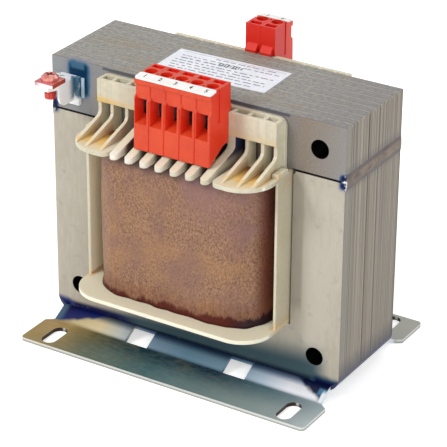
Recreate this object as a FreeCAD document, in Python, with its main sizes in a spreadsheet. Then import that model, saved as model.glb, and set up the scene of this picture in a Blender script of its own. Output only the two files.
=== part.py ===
import FreeCAD, Part
import math
import os
import Sketcher

Vector = FreeCAD.Vector

# Frame: millimetres, +Z up, +X across the core, front towards -Y.
# The origin is the middle of the four foot slots, on the surface that the feet stand on.
doc = FreeCAD.newDocument("chassis_transformer")

FRONT_POLES = 5
BACK_POLES = 2

SIZES = [
    # How far a cutting shape runs past what it cuts
    ("run_out", 1.0),
    # Core: E and I sheets of the scrapless pattern, in which one module sets every width
    ("sheet_module", 20.0),
    ("stack_depth", 40.0),
    ("hole_inset", 10.0),
    ("hole_diameter", 7.0),
    ("corner_cut", 3.0),
    ("notch_radius", 0.8),
    ("groove_reach", 2.6),
    ("groove_drop", 3.5),
    ("groove_depth", 1.3),
    ("weld_crown", 0.3),
    ("packet_depth", 4.0),
    ("packet_gap", 0.2),
    ("packet_relief", 0.25),
    # Feet: folded sheet under the front and the back of the core
    ("foot_sheet", 1.5),
    ("foot_rise", 3.5),
    ("foot_reach", 24.6),
    ("foot_tuck", 17.0),
    ("web_run", 6.5),
    ("web_start", 0.3),
    ("bend_radius", 2.0),
    ("foot_corner", 1.6),
    ("foot_end_step", 3.0),
    ("foot_end_slope", 2.2),
    ("foot_window_start", 16.0),
    ("foot_window_width", 9.7),
    ("slot_inset", 10.0),
    ("slot_setback", 7.6),
    ("slot_width", 5.8),
    ("slot_length", 12.3),
    # Bobbin: one moulding around the tongue
    ("bobbin_clearance", 0.25),
    ("bobbin_wall", 1.5),
    ("side_clearance", 0.6),
    ("side_wall", 1.0),
    ("side_wall_reach", 9.2),
    ("flange_reach", 23.8),
    ("flange_corner", 12.0),
    ("plate_inset", 1.9),
    ("plate_wall", 1.7),
    ("plate_drop", 1.3),
    ("plate_corner", 3.0),
    ("beam_inset", 2.9),
    ("beam_reach", 6.0),
    ("beam_wall", 1.4),
    ("beam_drop", 1.8),
    ("beam_height", 8.5),
    ("terminal_pitch", 6.15),
    ("finger_width", 3.1),
    ("finger_tip", 1.6),
    ("finger_corner", 1.5),
    ("finger_root", 4.0),
    ("rib_wall", 1.3),
    ("rib_setback", 0.7),
    ("rib_fade", 0.9),
    ("rib_knee", 5.4),
    ("knee_radius", 3.0),
    ("scoop_start", 21.1),
    ("scoop_corner", 3.0),
    ("lug_width", 2.5),
    ("lug_rise", 1.4),
    ("lug_start", 2.6),
    # Coil: windings and their insulation, built up on the bobbin's tube
    ("tube_corner", 1.5),
    ("primary_build", 6.5),
    ("layer_insulation", 0.6),
    ("coil_side_gap", 3.75),
    ("wrap_build", 1.0),
    ("bulge_ratio", 1.22),
    ("coil_clearance", 0.1),
    # Terminal poles, clipped over the bobbin's beam
    ("pole_gap", 0.06),
    ("front_block_offset", 2.4),
    ("back_block_offset", -0.5),
    ("seat_gap", 0.1),
    ("pole_depth", 11.9),
    ("pole_rise", 10.6),
    ("pole_height", 26.8),
    ("heel_rise", 5.2),
    ("heel_depth", 3.3),
    ("neck_setback", 1.2),
    ("hook_width", 4.5),
    ("hook_reach", 3.1),
    ("hook_face", 1.2),
    ("hook_height", 3.2),
    ("face_draft", 0.5),
    ("face_setback", 1.1),
    ("lip_setback", 0.4),
    ("lip_drop", 2.8),
    ("side_groove_width", 1.0),
    ("side_groove_depth", 0.4),
    ("side_groove_drop", 12.3),
    ("side_groove_setback", 5.3),
    ("strip_depth", 4.6),
    ("strip_wall", 0.5),
    ("edge_bevel", 0.3),
    ("window_width", 4.7),
    ("window_offset", 0.5),
    ("window_height", 9.0),
    ("window_drop", 8.2),
    ("window_depth", 5.0),
    ("window_ramp", 2.0),
    ("access_diameter", 4.4),
    ("access_setback", 6.8),
    ("test_slot_width", 4.4),
    ("test_slot_depth", 2.5),
    ("test_slot_setback", 11.2),
    ("test_slot_sink", 4.0),
    ("cage_width", 4.2),
    ("cage_depth", 5.0),
    ("cage_height", 8.0),
    ("cage_wall", 0.5),
    ("cage_clearance", 0.1),
    ("clamp_screw_diameter", 3.0),
    ("clamp_screw_rise", 2.4),
    ("clamp_slot_width", 0.6),
    ("clamp_slot_length", 2.3),
    ("clamp_slot_depth", 0.8),
    ("lead_width", 2.2),
    ("lead_sleeve", 1.2),
    ("lead_socket_width", 4.4),
    ("lead_socket_depth", 2.4),
    ("lead_setback", 5.0),
    ("lead_entry", 3.0),
    # Earth clamp on the front of the yoke
    ("earth_sheet", 1.5),
    ("earth_left", 3.0),
    ("earth_width", 7.8),
    ("earth_base_width", 9.3),
    ("earth_drop", 5.8),
    ("earth_base_height", 10.7),
    ("earth_reach", 15.0),
    ("earth_tab_height", 7.0),
    ("earth_tab_corner", 4.0),
    ("earth_screw_diameter", 4.0),
    ("earth_head_diameter", 6.4),
    ("earth_head_height", 2.2),
    ("earth_head_bevel", 1.0),
    ("earth_screw_length", 6.9),
    ("recess_span", 3.4),
    ("recess_width", 0.9),
    ("recess_depth", 1.2),
    ("saddle_wall", 1.6),
    # Label on the top of the core
    ("label_length", 45.0),
    ("label_depth", 20.0),
    ("label_wall", 0.2),
    ("label_turn", 2.0),
    ("label_shift", -1.15),
]

sheet = doc.addObject("Spreadsheet::Sheet", "Sizes")
for line, (alias, number) in enumerate(SIZES, start=1):
    sheet.set("A%d" % line, alias)
    sheet.set("B%d" % line, str(number))
    sheet.setAlias("B%d" % line, alias)
doc.recompute()


def value(expression):
    """The number that an expression on the sheet gives."""
    return float(sheet.evalExpression(expression.replace("Sizes.", "")))


def neg(expression):
    return "-(%s)" % expression


def plus(*terms):
    return "(" + " + ".join(terms) + ")"


# Heights and distances that several pieces share
CORE_BOTTOM = "(Sizes.foot_rise + Sizes.foot_sheet)"
CORE_TOP = plus(CORE_BOTTOM, "5 * Sizes.sheet_module")
JOINT = "(%s - Sizes.sheet_module)" % CORE_TOP
WINDOW_BOTTOM = plus(CORE_BOTTOM, "Sizes.sheet_module")
HALF_WIDTH = "(3 * Sizes.sheet_module)"
LEG_INNER = "(2 * Sizes.sheet_module)"
HALF_TONGUE = "Sizes.sheet_module"
HALF_DEPTH = "(Sizes.stack_depth / 2)"
HOLE_X = "(%s - Sizes.hole_inset)" % HALF_WIDTH
GROOVE_X = "(%s - Sizes.groove_depth)" % HALF_WIDTH

TUBE_X = plus(HALF_TONGUE, "Sizes.bobbin_clearance", "Sizes.bobbin_wall")
TUBE_Y = plus(HALF_DEPTH, "Sizes.bobbin_clearance", "Sizes.bobbin_wall")
BOBBIN_X = "(%s - Sizes.side_clearance)" % LEG_INNER
BOBBIN_BOTTOM = plus(WINDOW_BOTTOM, "Sizes.bobbin_clearance")
BOBBIN_TOP = "(%s - Sizes.bobbin_clearance)" % JOINT
FLOOR_TOP = plus(BOBBIN_BOTTOM, "Sizes.bobbin_wall")
CEILING = "(%s - Sizes.bobbin_wall)" % BOBBIN_TOP
FLANGE_Y = plus(HALF_DEPTH, "Sizes.flange_reach")
PLATE_BACK = plus(HALF_DEPTH, "Sizes.bobbin_clearance")
PLATE_FRONT = plus(PLATE_BACK, "Sizes.plate_wall")
PLATE_X = "(%s - Sizes.plate_inset)" % BOBBIN_X
BEAM_X = "(%s - Sizes.beam_inset)" % BOBBIN_X
BEAM_FRONT = plus(HALF_DEPTH, "Sizes.beam_reach")
BEAM_BACK = "(%s - Sizes.beam_wall)" % BEAM_FRONT
BEAM_TOP = "(%s - Sizes.beam_drop)" % CORE_TOP
BEAM_BOTTOM = "(%s - Sizes.beam_height)" % BEAM_TOP

POLE_WIDTH = "(Sizes.terminal_pitch - Sizes.pole_gap)"
POLE_BACK = plus(BEAM_FRONT, "Sizes.seat_gap")
POLE_FRONT = plus(POLE_BACK, "Sizes.pole_depth")
UPPER_FACE = "(%s - Sizes.face_setback)" % POLE_FRONT
LIP_FRONT = "(%s - Sizes.lip_setback)" % POLE_FRONT
POLE_TOP = plus(BEAM_TOP, "Sizes.pole_rise")
POLE_BOTTOM = "(%s - Sizes.pole_height)" % POLE_TOP
LIP_BOTTOM = "(%s - Sizes.lip_drop)" % POLE_TOP
STRIP_BACK = "(%s - Sizes.strip_depth)" % POLE_FRONT
WINDOW_MIDDLE = "(Sizes.window_offset + Sizes.window_width / 2)"
WINDOW_TOP = "(%s - Sizes.window_drop)" % POLE_TOP
WINDOW_SILL = "(%s - Sizes.window_height)" % WINDOW_TOP
HOOK_BOTTOM = plus(BEAM_TOP, "Sizes.seat_gap")
NECK = "(%s - Sizes.neck_setback)" % POLE_BACK
CAGE_FRONT = "(%s - Sizes.window_depth)" % POLE_FRONT
CAGE_BACK = "(%s - Sizes.cage_depth - 2 * Sizes.cage_clearance)" % CAGE_FRONT
CAGE_TOP = "(%s - Sizes.window_ramp / 2)" % WINDOW_TOP
CAGE_BOTTOM = "(%s - Sizes.cage_height - 2 * Sizes.cage_clearance)" % CAGE_TOP
ACCESS_Y = "(%s - Sizes.access_setback)" % POLE_FRONT
LEAD_Y = "(%s - Sizes.lead_setback)" % POLE_FRONT

EARTH_TOP = "(%s - Sizes.earth_drop)" % CORE_TOP
EARTH_LEFT = "(Sizes.earth_left - %s)" % HALF_WIDTH
EARTH_X = plus(EARTH_LEFT, "Sizes.earth_width / 2")
EARTH_SCREW_Y = plus(HALF_DEPTH, "Sizes.earth_reach - Sizes.earth_width / 2")


def new_body(label):
    body = doc.addObject("PartDesign::Body", label)
    body.Label = label
    return body


def new_sketch(body, name, plane, offset="0"):
    """A sketch on one of the body's own origin planes, offset along its normal."""
    sketch = body.newObject("Sketcher::SketchObject", name)
    support = [item for item in body.Origin.OriginFeatures if item.Role == plane][0]
    sketch.AttachmentSupport = (support, [""])
    sketch.MapMode = "FlatFace"
    sketch.setExpression("AttachmentOffset.Base.z", offset)
    return sketch


def arc_between(start, end, radius):
    """An arc from start to end, bulging right of the way there when radius is positive."""
    chord = end - start
    half = chord.Length / 2
    height = math.sqrt(max(radius * radius - half * half, 0.0))
    left = Vector(-chord.y, chord.x, 0).normalize()
    side = 1 if radius > 0 else -1
    centre = (start + end) * 0.5 + left * height * side
    first = math.atan2(start.y - centre.y, start.x - centre.x)
    last = math.atan2(end.y - centre.y, end.x - centre.x)
    circle = Part.Circle(centre, Vector(0, 0, 1), abs(radius))
    if side > 0:
        return Part.ArcOfCircle(circle, first, last), 1, 2
    return Part.ArcOfCircle(circle, last, first), 2, 1


def outline(sketch, corners):
    """A closed outline. A corner is (x, y), or (x, y, radius) where an arc leaves it."""
    points = [Vector(value(corner[0]), value(corner[1]), 0) for corner in corners]
    pieces = []
    for index, corner in enumerate(corners):
        start = points[index]
        end = points[(index + 1) % len(points)]
        if len(corner) == 3:
            shape, first, last = arc_between(start, end, value(corner[2]))
        else:
            shape, first, last = Part.LineSegment(start, end), 1, 2
        pieces.append((sketch.addGeometry(shape, False), first, last))
    for index, (piece, first, last) in enumerate(pieces):
        following, following_first, _ = pieces[(index + 1) % len(pieces)]
        sketch.addConstraint(
            Sketcher.Constraint("Coincident", piece, last, following, following_first))
    for (piece, first, last), corner, point in zip(pieces, corners, points):
        bind(sketch, "DistanceX", (-1, 1, piece, first, point.x), corner[0])
        bind(sketch, "DistanceY", (-1, 1, piece, first, point.y), corner[1])
        if len(corner) == 3:
            bind(sketch, "Radius", (piece, abs(value(corner[2]))), "abs(%s)" % corner[2])


def bind(sketch, kind, arguments, expression):
    """A constraint whose size is an expression on the sheet."""
    number = sketch.addConstraint(Sketcher.Constraint(kind, *arguments))
    sketch.setExpression("Constraints[%d]" % number, expression)


def rectangle(sketch, left, right, low, high):
    outline(sketch, [(left, low), (right, low), (right, high), (left, high)])


def circle(sketch, x, y, radius):
    centre = Vector(value(x), value(y), 0)
    piece = sketch.addGeometry(Part.Circle(centre, Vector(0, 0, 1), value(radius)), False)
    bind(sketch, "DistanceX", (-1, 1, piece, 3, centre.x), x)
    bind(sketch, "DistanceY", (-1, 1, piece, 3, centre.y), y)
    bind(sketch, "Radius", (piece, value(radius)), radius)


def pad(body, sketch, length, both_ways=False, reverse=False):
    feature = body.newObject("PartDesign::Pad", sketch.Name + "_pad")
    feature.Profile = sketch
    feature.setExpression("Length", length)
    feature.SideType = "Symmetric" if both_ways else "One side"
    feature.Reversed = reverse
    body.Tip = feature
    return feature


def pocket(body, sketch, length=None, both_ways=False, reverse=False):
    """A cut through everything, or of one length where that is given."""
    feature = body.newObject("PartDesign::Pocket", sketch.Name + "_pocket")
    feature.Profile = sketch
    if length is None:
        feature.Type = "ThroughAll"
    else:
        feature.setExpression("Length", length)
    feature.SideType = "Symmetric" if both_ways or length is None else "One side"
    feature.Reversed = reverse
    body.Tip = feature
    return feature


def edges_near(feature, places):
    """The names of the edges whose middles lie nearest to the places given."""
    names = []
    for place in places:
        distances = []
        for number, edge in enumerate(feature.Shape.Edges, start=1):
            middle = edge.valueAt((edge.FirstParameter + edge.LastParameter) / 2)
            distances.append(((middle - place).Length, "Edge%d" % number))
        names.append(min(distances)[1])
    return names


def round_edges(body, radius, places, kind="Fillet"):
    """Rounds or bevels the edges of the body whose middles are at the places."""
    doc.recompute()
    base = body.Tip
    feature = body.newObject("PartDesign::" + kind, "%s_%s" % (body.Name, kind.lower()))
    feature.Base = (base, edges_near(base, places))
    feature.setExpression("Radius" if kind == "Fillet" else "Size", radius)
    body.Tip = feature
    return feature


def mirror(body, plane):
    """Completes a body that is modelled on one side of the plane."""
    feature = body.newObject("PartDesign::Mirrored", body.Name + "_mirror_" + plane[:2].lower())
    feature.TransformMode = "Whole shape"
    support = [item for item in body.Origin.OriginFeatures if item.Role == plane][0]
    feature.MirrorPlane = (support, [""])
    body.Tip = feature
    return feature


def row_pattern(body, feature, axis, length, count):
    pattern = body.newObject("PartDesign::LinearPattern", feature.Name + "_row")
    pattern.Originals = [feature]
    support = [item for item in body.Origin.OriginFeatures if item.Role == axis][0]
    pattern.Direction = (support, [""])
    pattern.setExpression("Length", length)
    pattern.Occurrences = count
    body.Tip = pattern
    return pattern


def turn_about(piece, degrees):
    piece.Placement = FreeCAD.Placement(
        Vector(0, 0, 0), FreeCAD.Rotation(Vector(0, 0, 1), degrees))


def place_x(piece, expression, turned):
    """Moves a piece along X, turned to face the back where asked."""
    turn_about(piece, 180 if turned else 0)
    piece.setExpression("Placement.Base.x", expression)
    return piece


def packet_grooves(body, name, strips):
    """Shallow grooves between packets of sheets, down the outer faces of a stack."""
    count = int(round(value("Sizes.stack_depth / Sizes.packet_depth"))) - 1
    first = "(%s - Sizes.packet_depth + Sizes.packet_gap / 2)" % HALF_DEPTH
    sketch = new_sketch(body, name, "XZ_Plane", first)
    for strip in strips:
        rectangle(sketch, *strip)
    cut = pocket(body, sketch, "Sizes.packet_gap")
    span = "(Sizes.stack_depth - 2 * Sizes.packet_depth)"
    pattern = row_pattern(body, cut, "Y_Axis", span, count)
    return pattern


def core_e_stack():
    body = new_body("core_e_stack")
    profile = new_sketch(body, "e_sheet", "XZ_Plane")
    right = [
        ("(%s - Sizes.corner_cut)" % HALF_WIDTH, CORE_BOTTOM),
        (HALF_WIDTH, plus(CORE_BOTTOM, "Sizes.corner_cut")),
        (HALF_WIDTH, "(%s - Sizes.groove_drop)" % JOINT),
        (GROOVE_X, JOINT),
        (LEG_INNER, JOINT),
        (LEG_INNER, WINDOW_BOTTOM),
        (HALF_TONGUE, WINDOW_BOTTOM),
        (HALF_TONGUE, JOINT),
    ]
    left = [(neg(x), z) for x, z in reversed(right)]
    outline(profile, right + left)
    pad(body, profile, "Sizes.stack_depth", both_ways=True)
    holes = new_sketch(body, "e_holes", "XZ_Plane")
    notches = new_sketch(body, "e_notches", "XZ_Plane")
    for side in (HOLE_X, neg(HOLE_X)):
        circle(holes, side, plus(CORE_BOTTOM, "Sizes.hole_inset"), "Sizes.hole_diameter / 2")
    for side in (LEG_INNER, neg(LEG_INNER)):
        circle(notches, side, "(%s - Sizes.notch_radius)" % JOINT, "Sizes.notch_radius")
    pocket(body, holes)
    pocket(body, notches)
    inner = "(%s - Sizes.packet_relief)" % HALF_WIDTH
    outer = plus(HALF_WIDTH, "Sizes.run_out")
    low = plus(CORE_BOTTOM, "Sizes.corner_cut")
    high = "(%s - Sizes.groove_drop)" % JOINT
    packet_grooves(body, "e_grooves", [
        (inner, outer, low, high),
        (neg(outer), neg(inner), low, high),
    ])
    return body


def core_i_stack():
    body = new_body("core_i_stack")
    profile = new_sketch(body, "i_sheet", "XZ_Plane")
    right = [
        (GROOVE_X, JOINT),
        (HALF_WIDTH, plus(JOINT, "Sizes.groove_reach")),
        (HALF_WIDTH, CORE_TOP),
    ]
    left = [(neg(x), z) for x, z in reversed(right)]
    outline(profile, right + left)
    pad(body, profile, "Sizes.stack_depth", both_ways=True)
    holes = new_sketch(body, "i_holes", "XZ_Plane")
    for side in (HOLE_X, neg(HOLE_X)):
        circle(holes, side, "(%s - Sizes.hole_inset)" % CORE_TOP, "Sizes.hole_diameter / 2")
    pocket(body, holes)
    inner = "(%s - Sizes.packet_relief)" % HALF_WIDTH
    outer = plus(HALF_WIDTH, "Sizes.run_out")
    low = plus(JOINT, "Sizes.groove_reach")
    crest = "(%s - Sizes.packet_relief)" % CORE_TOP
    packet_grooves(body, "i_grooves", [
        (inner, outer, low, crest),
        (neg(outer), neg(inner), low, crest),
        (neg(outer), outer, crest, plus(CORE_TOP, "Sizes.run_out")),
    ])
    return body


def weld_bead(label, corners, turned):
    """A bead along the whole depth of the stack. Its last corner has the crowned outside."""
    body = new_body(label)
    section = new_sketch(body, label + "_section", "XZ_Plane")
    outline(section, corners)
    pad(body, section, "Sizes.stack_depth", both_ways=True)
    turn_about(body, 180 if turned else 0)
    return body


def crowned_radius(rise, run, crown):
    """The radius of an arc over a chord, for a given height above it."""
    squared = "((%s) * (%s) + (%s) * (%s)) / 4" % (rise, rise, run, run)
    return "((%s) + %s * %s) / (2 * %s)" % (squared, crown, crown, crown)


def joint_weld(label, turned):
    """Fills the groove down one side of the core, where the I sheets meet the E sheets."""
    radius = crowned_radius("Sizes.groove_drop + Sizes.groove_reach", "0", "Sizes.weld_crown")
    return weld_bead(label, [
        (HALF_WIDTH, plus(JOINT, "Sizes.groove_reach")),
        (GROOVE_X, JOINT),
        (HALF_WIDTH, "(%s - Sizes.groove_drop)" % JOINT, radius),
    ], turned)


def foot_weld(label, turned):
    """Runs in the cut corner between the stack and the ends of both feet."""
    edge = "(%s - Sizes.corner_cut)" % HALF_WIDTH
    radius = crowned_radius(
        "Sizes.corner_cut + Sizes.foot_sheet", "Sizes.corner_cut", "(2 * Sizes.weld_crown)")
    return weld_bead(label, [
        (HALF_WIDTH, plus(CORE_BOTTOM, "Sizes.corner_cut")),
        (edge, CORE_BOTTOM),
        (edge, "Sizes.foot_rise", radius),
    ], turned)


def foot(label, turned):
    """A strip folded twice: a low flange with slots, a short web and a plate under the core."""
    body = new_body(label)
    edge = plus(HALF_DEPTH, "Sizes.foot_reach")
    top = plus(HALF_DEPTH, "Sizes.web_start")
    fold = plus(top, "Sizes.web_run")
    inner = plus(HALF_DEPTH, "-Sizes.foot_tuck")
    shift = "Sizes.foot_sheet * tan(atan(Sizes.foot_rise / Sizes.web_run) / 2)"
    section = new_sketch(body, label + "_section", "YZ_Plane")
    outline(section, [
        (neg(edge), "0"),
        (neg(fold), "0"),
        (neg(top), "Sizes.foot_rise"),
        (neg(inner), "Sizes.foot_rise"),
        (neg(inner), CORE_BOTTOM),
        (neg(plus(top, shift)), CORE_BOTTOM),
        (neg(plus(fold, shift)), "Sizes.foot_sheet"),
        (neg(edge), "Sizes.foot_sheet"),
    ])
    pad(body, section, "2 * %s" % HALF_WIDTH, both_ways=True)
    round_edges(body, "Sizes.bend_radius", [
        Vector(0, -value(top), value("Sizes.foot_rise")),
        Vector(0, -value(plus(fold, shift)), value("Sizes.foot_sheet")),
    ])
    round_edges(body, "Sizes.bend_radius + Sizes.foot_sheet", [
        Vector(0, -value(fold), 0),
        Vector(0, -value(plus(top, shift)), value(CORE_BOTTOM)),
    ])
    middle = value("Sizes.foot_sheet / 2")
    round_edges(body, "Sizes.foot_corner", [
        Vector(value(HALF_WIDTH) * side, -value(edge), middle) for side in (1, -1)])

    cuts = new_sketch(body, label + "_cuts", "XY_Plane")
    slot_x = "(%s - Sizes.slot_inset)" % HALF_WIDTH
    slot_y = "(%s - Sizes.slot_setback)" % edge
    slot_half = "(Sizes.slot_width / 2)"
    slot_run = "((Sizes.slot_length - Sizes.slot_width) / 2)"
    window_left = "Sizes.foot_window_start"
    window_right = plus(window_left, "Sizes.foot_window_width")
    for left, right in ((window_left, window_right), (neg(window_right), neg(window_left))):
        rectangle(cuts, left, right, neg(plus(fold, shift)), neg(HALF_DEPTH))
    for side in (slot_x, neg(slot_x)):
        rectangle(cuts, plus(side, neg(slot_half)), plus(side, slot_half),
                  plus(neg(slot_y), neg(slot_run)), plus(neg(slot_y), slot_run))
    pocket(body, cuts)
    ends = new_sketch(body, label + "_slot_ends", "XY_Plane")
    for side in (slot_x, neg(slot_x)):
        for run in (slot_run, neg(slot_run)):
            circle(ends, side, plus(neg(slot_y), run), slot_half)
    pocket(body, ends)

    step = "(%s - Sizes.foot_end_step)" % HALF_WIDTH
    slope_start = plus(fold, "Sizes.foot_end_slope")
    notch = new_sketch(body, label + "_end_steps", "XY_Plane")
    beyond = plus(HALF_WIDTH, "Sizes.run_out")
    for turn in (lambda x: x, neg):
        outline(notch, [
            (turn(HALF_WIDTH), neg(slope_start)),
            (turn(step), neg(fold)),
            (turn(step), "0"),
            (turn(beyond), "0"),
            (turn(beyond), neg(slope_start)),
        ])
    pocket(body, notch)
    turn_about(body, 180 if turned else 0)
    return body


def bobbin():
    """The moulded carrier: tube, flanges and side walls, and at each face of the core a
    plate and a beam for the terminals, on kneed fingers and on the ribs of two scoops."""
    body = new_body("bobbin")
    height = "%s - %s" % (BOBBIN_TOP, BOBBIN_BOTTOM)

    tube = new_sketch(body, "tube", "XY_Plane", BOBBIN_BOTTOM)
    rectangle(tube, "0", TUBE_X, neg(TUBE_Y), "0")
    pad(body, tube, height)

    floor = new_sketch(body, "floor_flange", "XY_Plane", BOBBIN_BOTTOM)
    flange_outline(floor, "0")
    pad(body, floor, "Sizes.bobbin_wall")

    finger_roots = plus(PLATE_BACK, "Sizes.finger_root")
    ceiling = new_sketch(body, "ceiling_flange", "XY_Plane", CEILING)
    rectangle(ceiling, "0", BOBBIN_X, neg(finger_roots), "0")
    pad(body, ceiling, "Sizes.bobbin_wall")

    scoop = new_sketch(body, "scoop", "XY_Plane", CEILING)
    flange_outline(scoop, "Sizes.scoop_start")
    pad(body, scoop, "Sizes.bobbin_wall")
    middle = value(plus(CEILING, "Sizes.bobbin_wall / 2"))
    round_edges(body, "Sizes.scoop_corner", [
        Vector(value("Sizes.scoop_start"), -value(FLANGE_Y), middle)])

    wall = new_sketch(body, "side_wall", "XY_Plane", BOBBIN_BOTTOM)
    wall_front = plus(HALF_DEPTH, "Sizes.side_wall_reach")
    rectangle(wall, "(%s - Sizes.side_wall)" % BOBBIN_X, BOBBIN_X, neg(wall_front), "0")
    pad(body, wall, height)
    lug = new_sketch(body, "lug", "XY_Plane", CEILING)
    rectangle(lug, "(%s - Sizes.lug_width)" % BOBBIN_X, BOBBIN_X,
              neg(wall_front), neg(plus(HALF_DEPTH, "Sizes.lug_start")))
    pad(body, lug, "Sizes.bobbin_wall + Sizes.lug_rise")

    plate = new_sketch(body, "plate", "XZ_Plane", PLATE_BACK)
    rectangle(plate, "0", PLATE_X, BEAM_BOTTOM, "(%s - Sizes.plate_drop)" % CORE_TOP)
    pad(body, plate, "Sizes.plate_wall")
    round_edges(body, "Sizes.plate_corner", [
        Vector(value(PLATE_X), -value(plus(PLATE_BACK, "Sizes.plate_wall / 2")),
               value("%s - Sizes.plate_drop" % CORE_TOP))])
    stile = new_sketch(body, "end_stile", "XZ_Plane", PLATE_BACK)
    rectangle(stile, "(%s - Sizes.rib_wall)" % PLATE_X, PLATE_X, CEILING, BEAM_BOTTOM)
    pad(body, stile, "Sizes.plate_wall")

    beam = new_sketch(body, "beam", "XZ_Plane", BEAM_BACK)
    rectangle(beam, "0", BEAM_X, BEAM_BOTTOM, BEAM_TOP)
    pad(body, beam, "Sizes.beam_wall")
    sill = new_sketch(body, "beam_sill", "XZ_Plane", PLATE_BACK)
    rectangle(sill, "0", BEAM_X, BEAM_BOTTOM, plus(BEAM_BOTTOM, "Sizes.beam_wall"))
    pad(body, sill, "%s - %s" % (BEAM_BACK, PLATE_BACK))

    fingers = int(value("Sizes.scoop_start / Sizes.terminal_pitch")) + 1
    finger = new_sketch(body, "finger", "YZ_Plane")
    outline(finger, kneed_rib("Sizes.finger_tip", "0"))
    first = pad(body, finger, "Sizes.finger_width", both_ways=True)
    corner = "Sizes.finger_corner"
    half = value("Sizes.finger_width / 2")
    tip = value(plus(CEILING, "Sizes.finger_tip / 2"))
    row(body, first, fingers - 1, fingers)
    round_edges(body, corner, [
        Vector(index * value("Sizes.terminal_pitch") + side * half, -value(FLANGE_Y), tip)
        for index in range(fingers) for side in (1, -1)])

    ribs = int(value("(%s - Sizes.rib_wall) / Sizes.terminal_pitch" % BEAM_X)) - fingers + 1
    rib = new_sketch(body, "scoop_rib", "YZ_Plane", "%d * Sizes.terminal_pitch" % fingers)
    outline(rib, kneed_rib("(Sizes.bobbin_wall - Sizes.rib_fade / 3)", "Sizes.rib_fade"))
    first = pad(body, rib, "Sizes.rib_wall", both_ways=True)
    row(body, first, ribs - 1, ribs)
    end_rib = new_sketch(body, "end_rib", "YZ_Plane", "%s - Sizes.rib_wall" % BEAM_X)
    outline(end_rib, kneed_rib("(Sizes.bobbin_wall - Sizes.rib_fade / 3)", "Sizes.rib_fade"))
    pad(body, end_rib, "Sizes.rib_wall")

    divider = new_sketch(body, "pocket_divider", "YZ_Plane")
    rectangle(divider, neg(BEAM_BACK), neg(PLATE_BACK), BEAM_BOTTOM, BEAM_TOP)
    first = pad(body, divider, "Sizes.rib_wall", both_ways=True)
    row(body, first, fingers + ribs - 1, fingers + ribs)
    end_wall = new_sketch(body, "beam_end", "YZ_Plane", "%s - Sizes.rib_wall" % BEAM_X)
    rectangle(end_wall, neg(BEAM_BACK), neg(PLATE_BACK), BEAM_BOTTOM, BEAM_TOP)
    pad(body, end_wall, "Sizes.rib_wall")

    trim = new_sketch(body, "flange_trim", "XY_Plane", BOBBIN_BOTTOM)
    corner_y = neg("(%s - Sizes.flange_corner)" % FLANGE_Y)
    corner_x = "(%s - Sizes.flange_corner)" % BOBBIN_X
    beyond_x = plus(BOBBIN_X, "Sizes.run_out")
    beyond_y = neg(plus(FLANGE_Y, "Sizes.run_out"))
    outline(trim, [
        (BOBBIN_X, corner_y, "-Sizes.flange_corner"),
        (corner_x, neg(FLANGE_Y)),
        (corner_x, beyond_y),
        (beyond_x, beyond_y),
        (beyond_x, corner_y),
    ])
    pocket(body, trim)

    bore = new_sketch(body, "tongue_bore", "XY_Plane", BOBBIN_BOTTOM)
    rectangle(bore, neg("Sizes.run_out"), plus(HALF_TONGUE, "Sizes.bobbin_clearance"),
              neg(PLATE_BACK), "Sizes.run_out")
    pocket(body, bore)
    mirror(body, "YZ_Plane")
    mirror(body, "XZ_Plane")
    return body


def flange_outline(sketch, left):
    """A flange from one X to the bobbin's side, with its outer corner rounded."""
    outline(sketch, [
        (left, "0"),
        (left, neg(FLANGE_Y)),
        ("(%s - Sizes.flange_corner)" % BOBBIN_X, neg(FLANGE_Y), "Sizes.flange_corner"),
        (BOBBIN_X, neg("(%s - Sizes.flange_corner)" % FLANGE_Y)),
        (BOBBIN_X, "0"),
    ])


def kneed_rib(tip, short):
    """A rib upright under the beam, then kneed forward and down to the flange's edge."""
    end = "(%s - %s)" % (FLANGE_Y, short)
    front = "(%s - Sizes.rib_setback)" % BEAM_FRONT
    knee = "(%s - Sizes.rib_knee)" % BEAM_BOTTOM
    reach = "Sizes.knee_radius / 2"
    crest = plus(BEAM_BOTTOM, "Sizes.beam_wall / 2")
    return [
        (neg(end), CEILING),
        (neg(PLATE_BACK), CEILING),
        (neg(PLATE_BACK), crest),
        (neg(front), crest),
        (neg(front), plus(knee, reach), "-Sizes.knee_radius"),
        (neg(plus(front, reach)), knee),
        (neg(end), plus(CEILING, tip)),
    ]


def row(body, feature, spans, count):
    """Copies of a feature along X at the pitch of the terminals."""
    if count > 1:
        row_pattern(body, feature, "X_Axis", "%d * Sizes.terminal_pitch" % spans, count)


def rounded_rectangle(sketch, half_x, half_y, radius):
    straight_x = "(%s - %s)" % (half_x, radius)
    straight_y = "(%s - %s)" % (half_y, radius)
    outline(sketch, [
        (half_x, neg(straight_y)),
        (half_x, straight_y, radius),
        (straight_x, half_y),
        (neg(straight_x), half_y, radius),
        (neg(half_x), straight_y),
        (neg(half_x), neg(straight_y), radius),
        (neg(straight_x), neg(half_y)),
        (straight_x, neg(half_y), radius),
    ])


def coil_layer(label, inner_build, outer_build):
    """A winding or a wrap: a rounded tube around the one inside it, fuller at the faces."""
    body = new_body(label)
    low = plus(FLOOR_TOP, "Sizes.coil_clearance")
    section = new_sketch(body, label + "_section", "XY_Plane", low)
    for build in (inner_build, outer_build):
        half_x = plus(TUBE_X, build)
        half_y = plus(TUBE_Y, "Sizes.bulge_ratio * (%s)" % build)
        if build == "0":
            rectangle(section, neg(half_x), half_x, neg(half_y), half_y)
        else:
            rounded_rectangle(section, half_x, half_y, plus("Sizes.tube_corner", build))
    pad(body, section, "%s - Sizes.coil_clearance - %s" % (CEILING, low))
    return body


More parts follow.
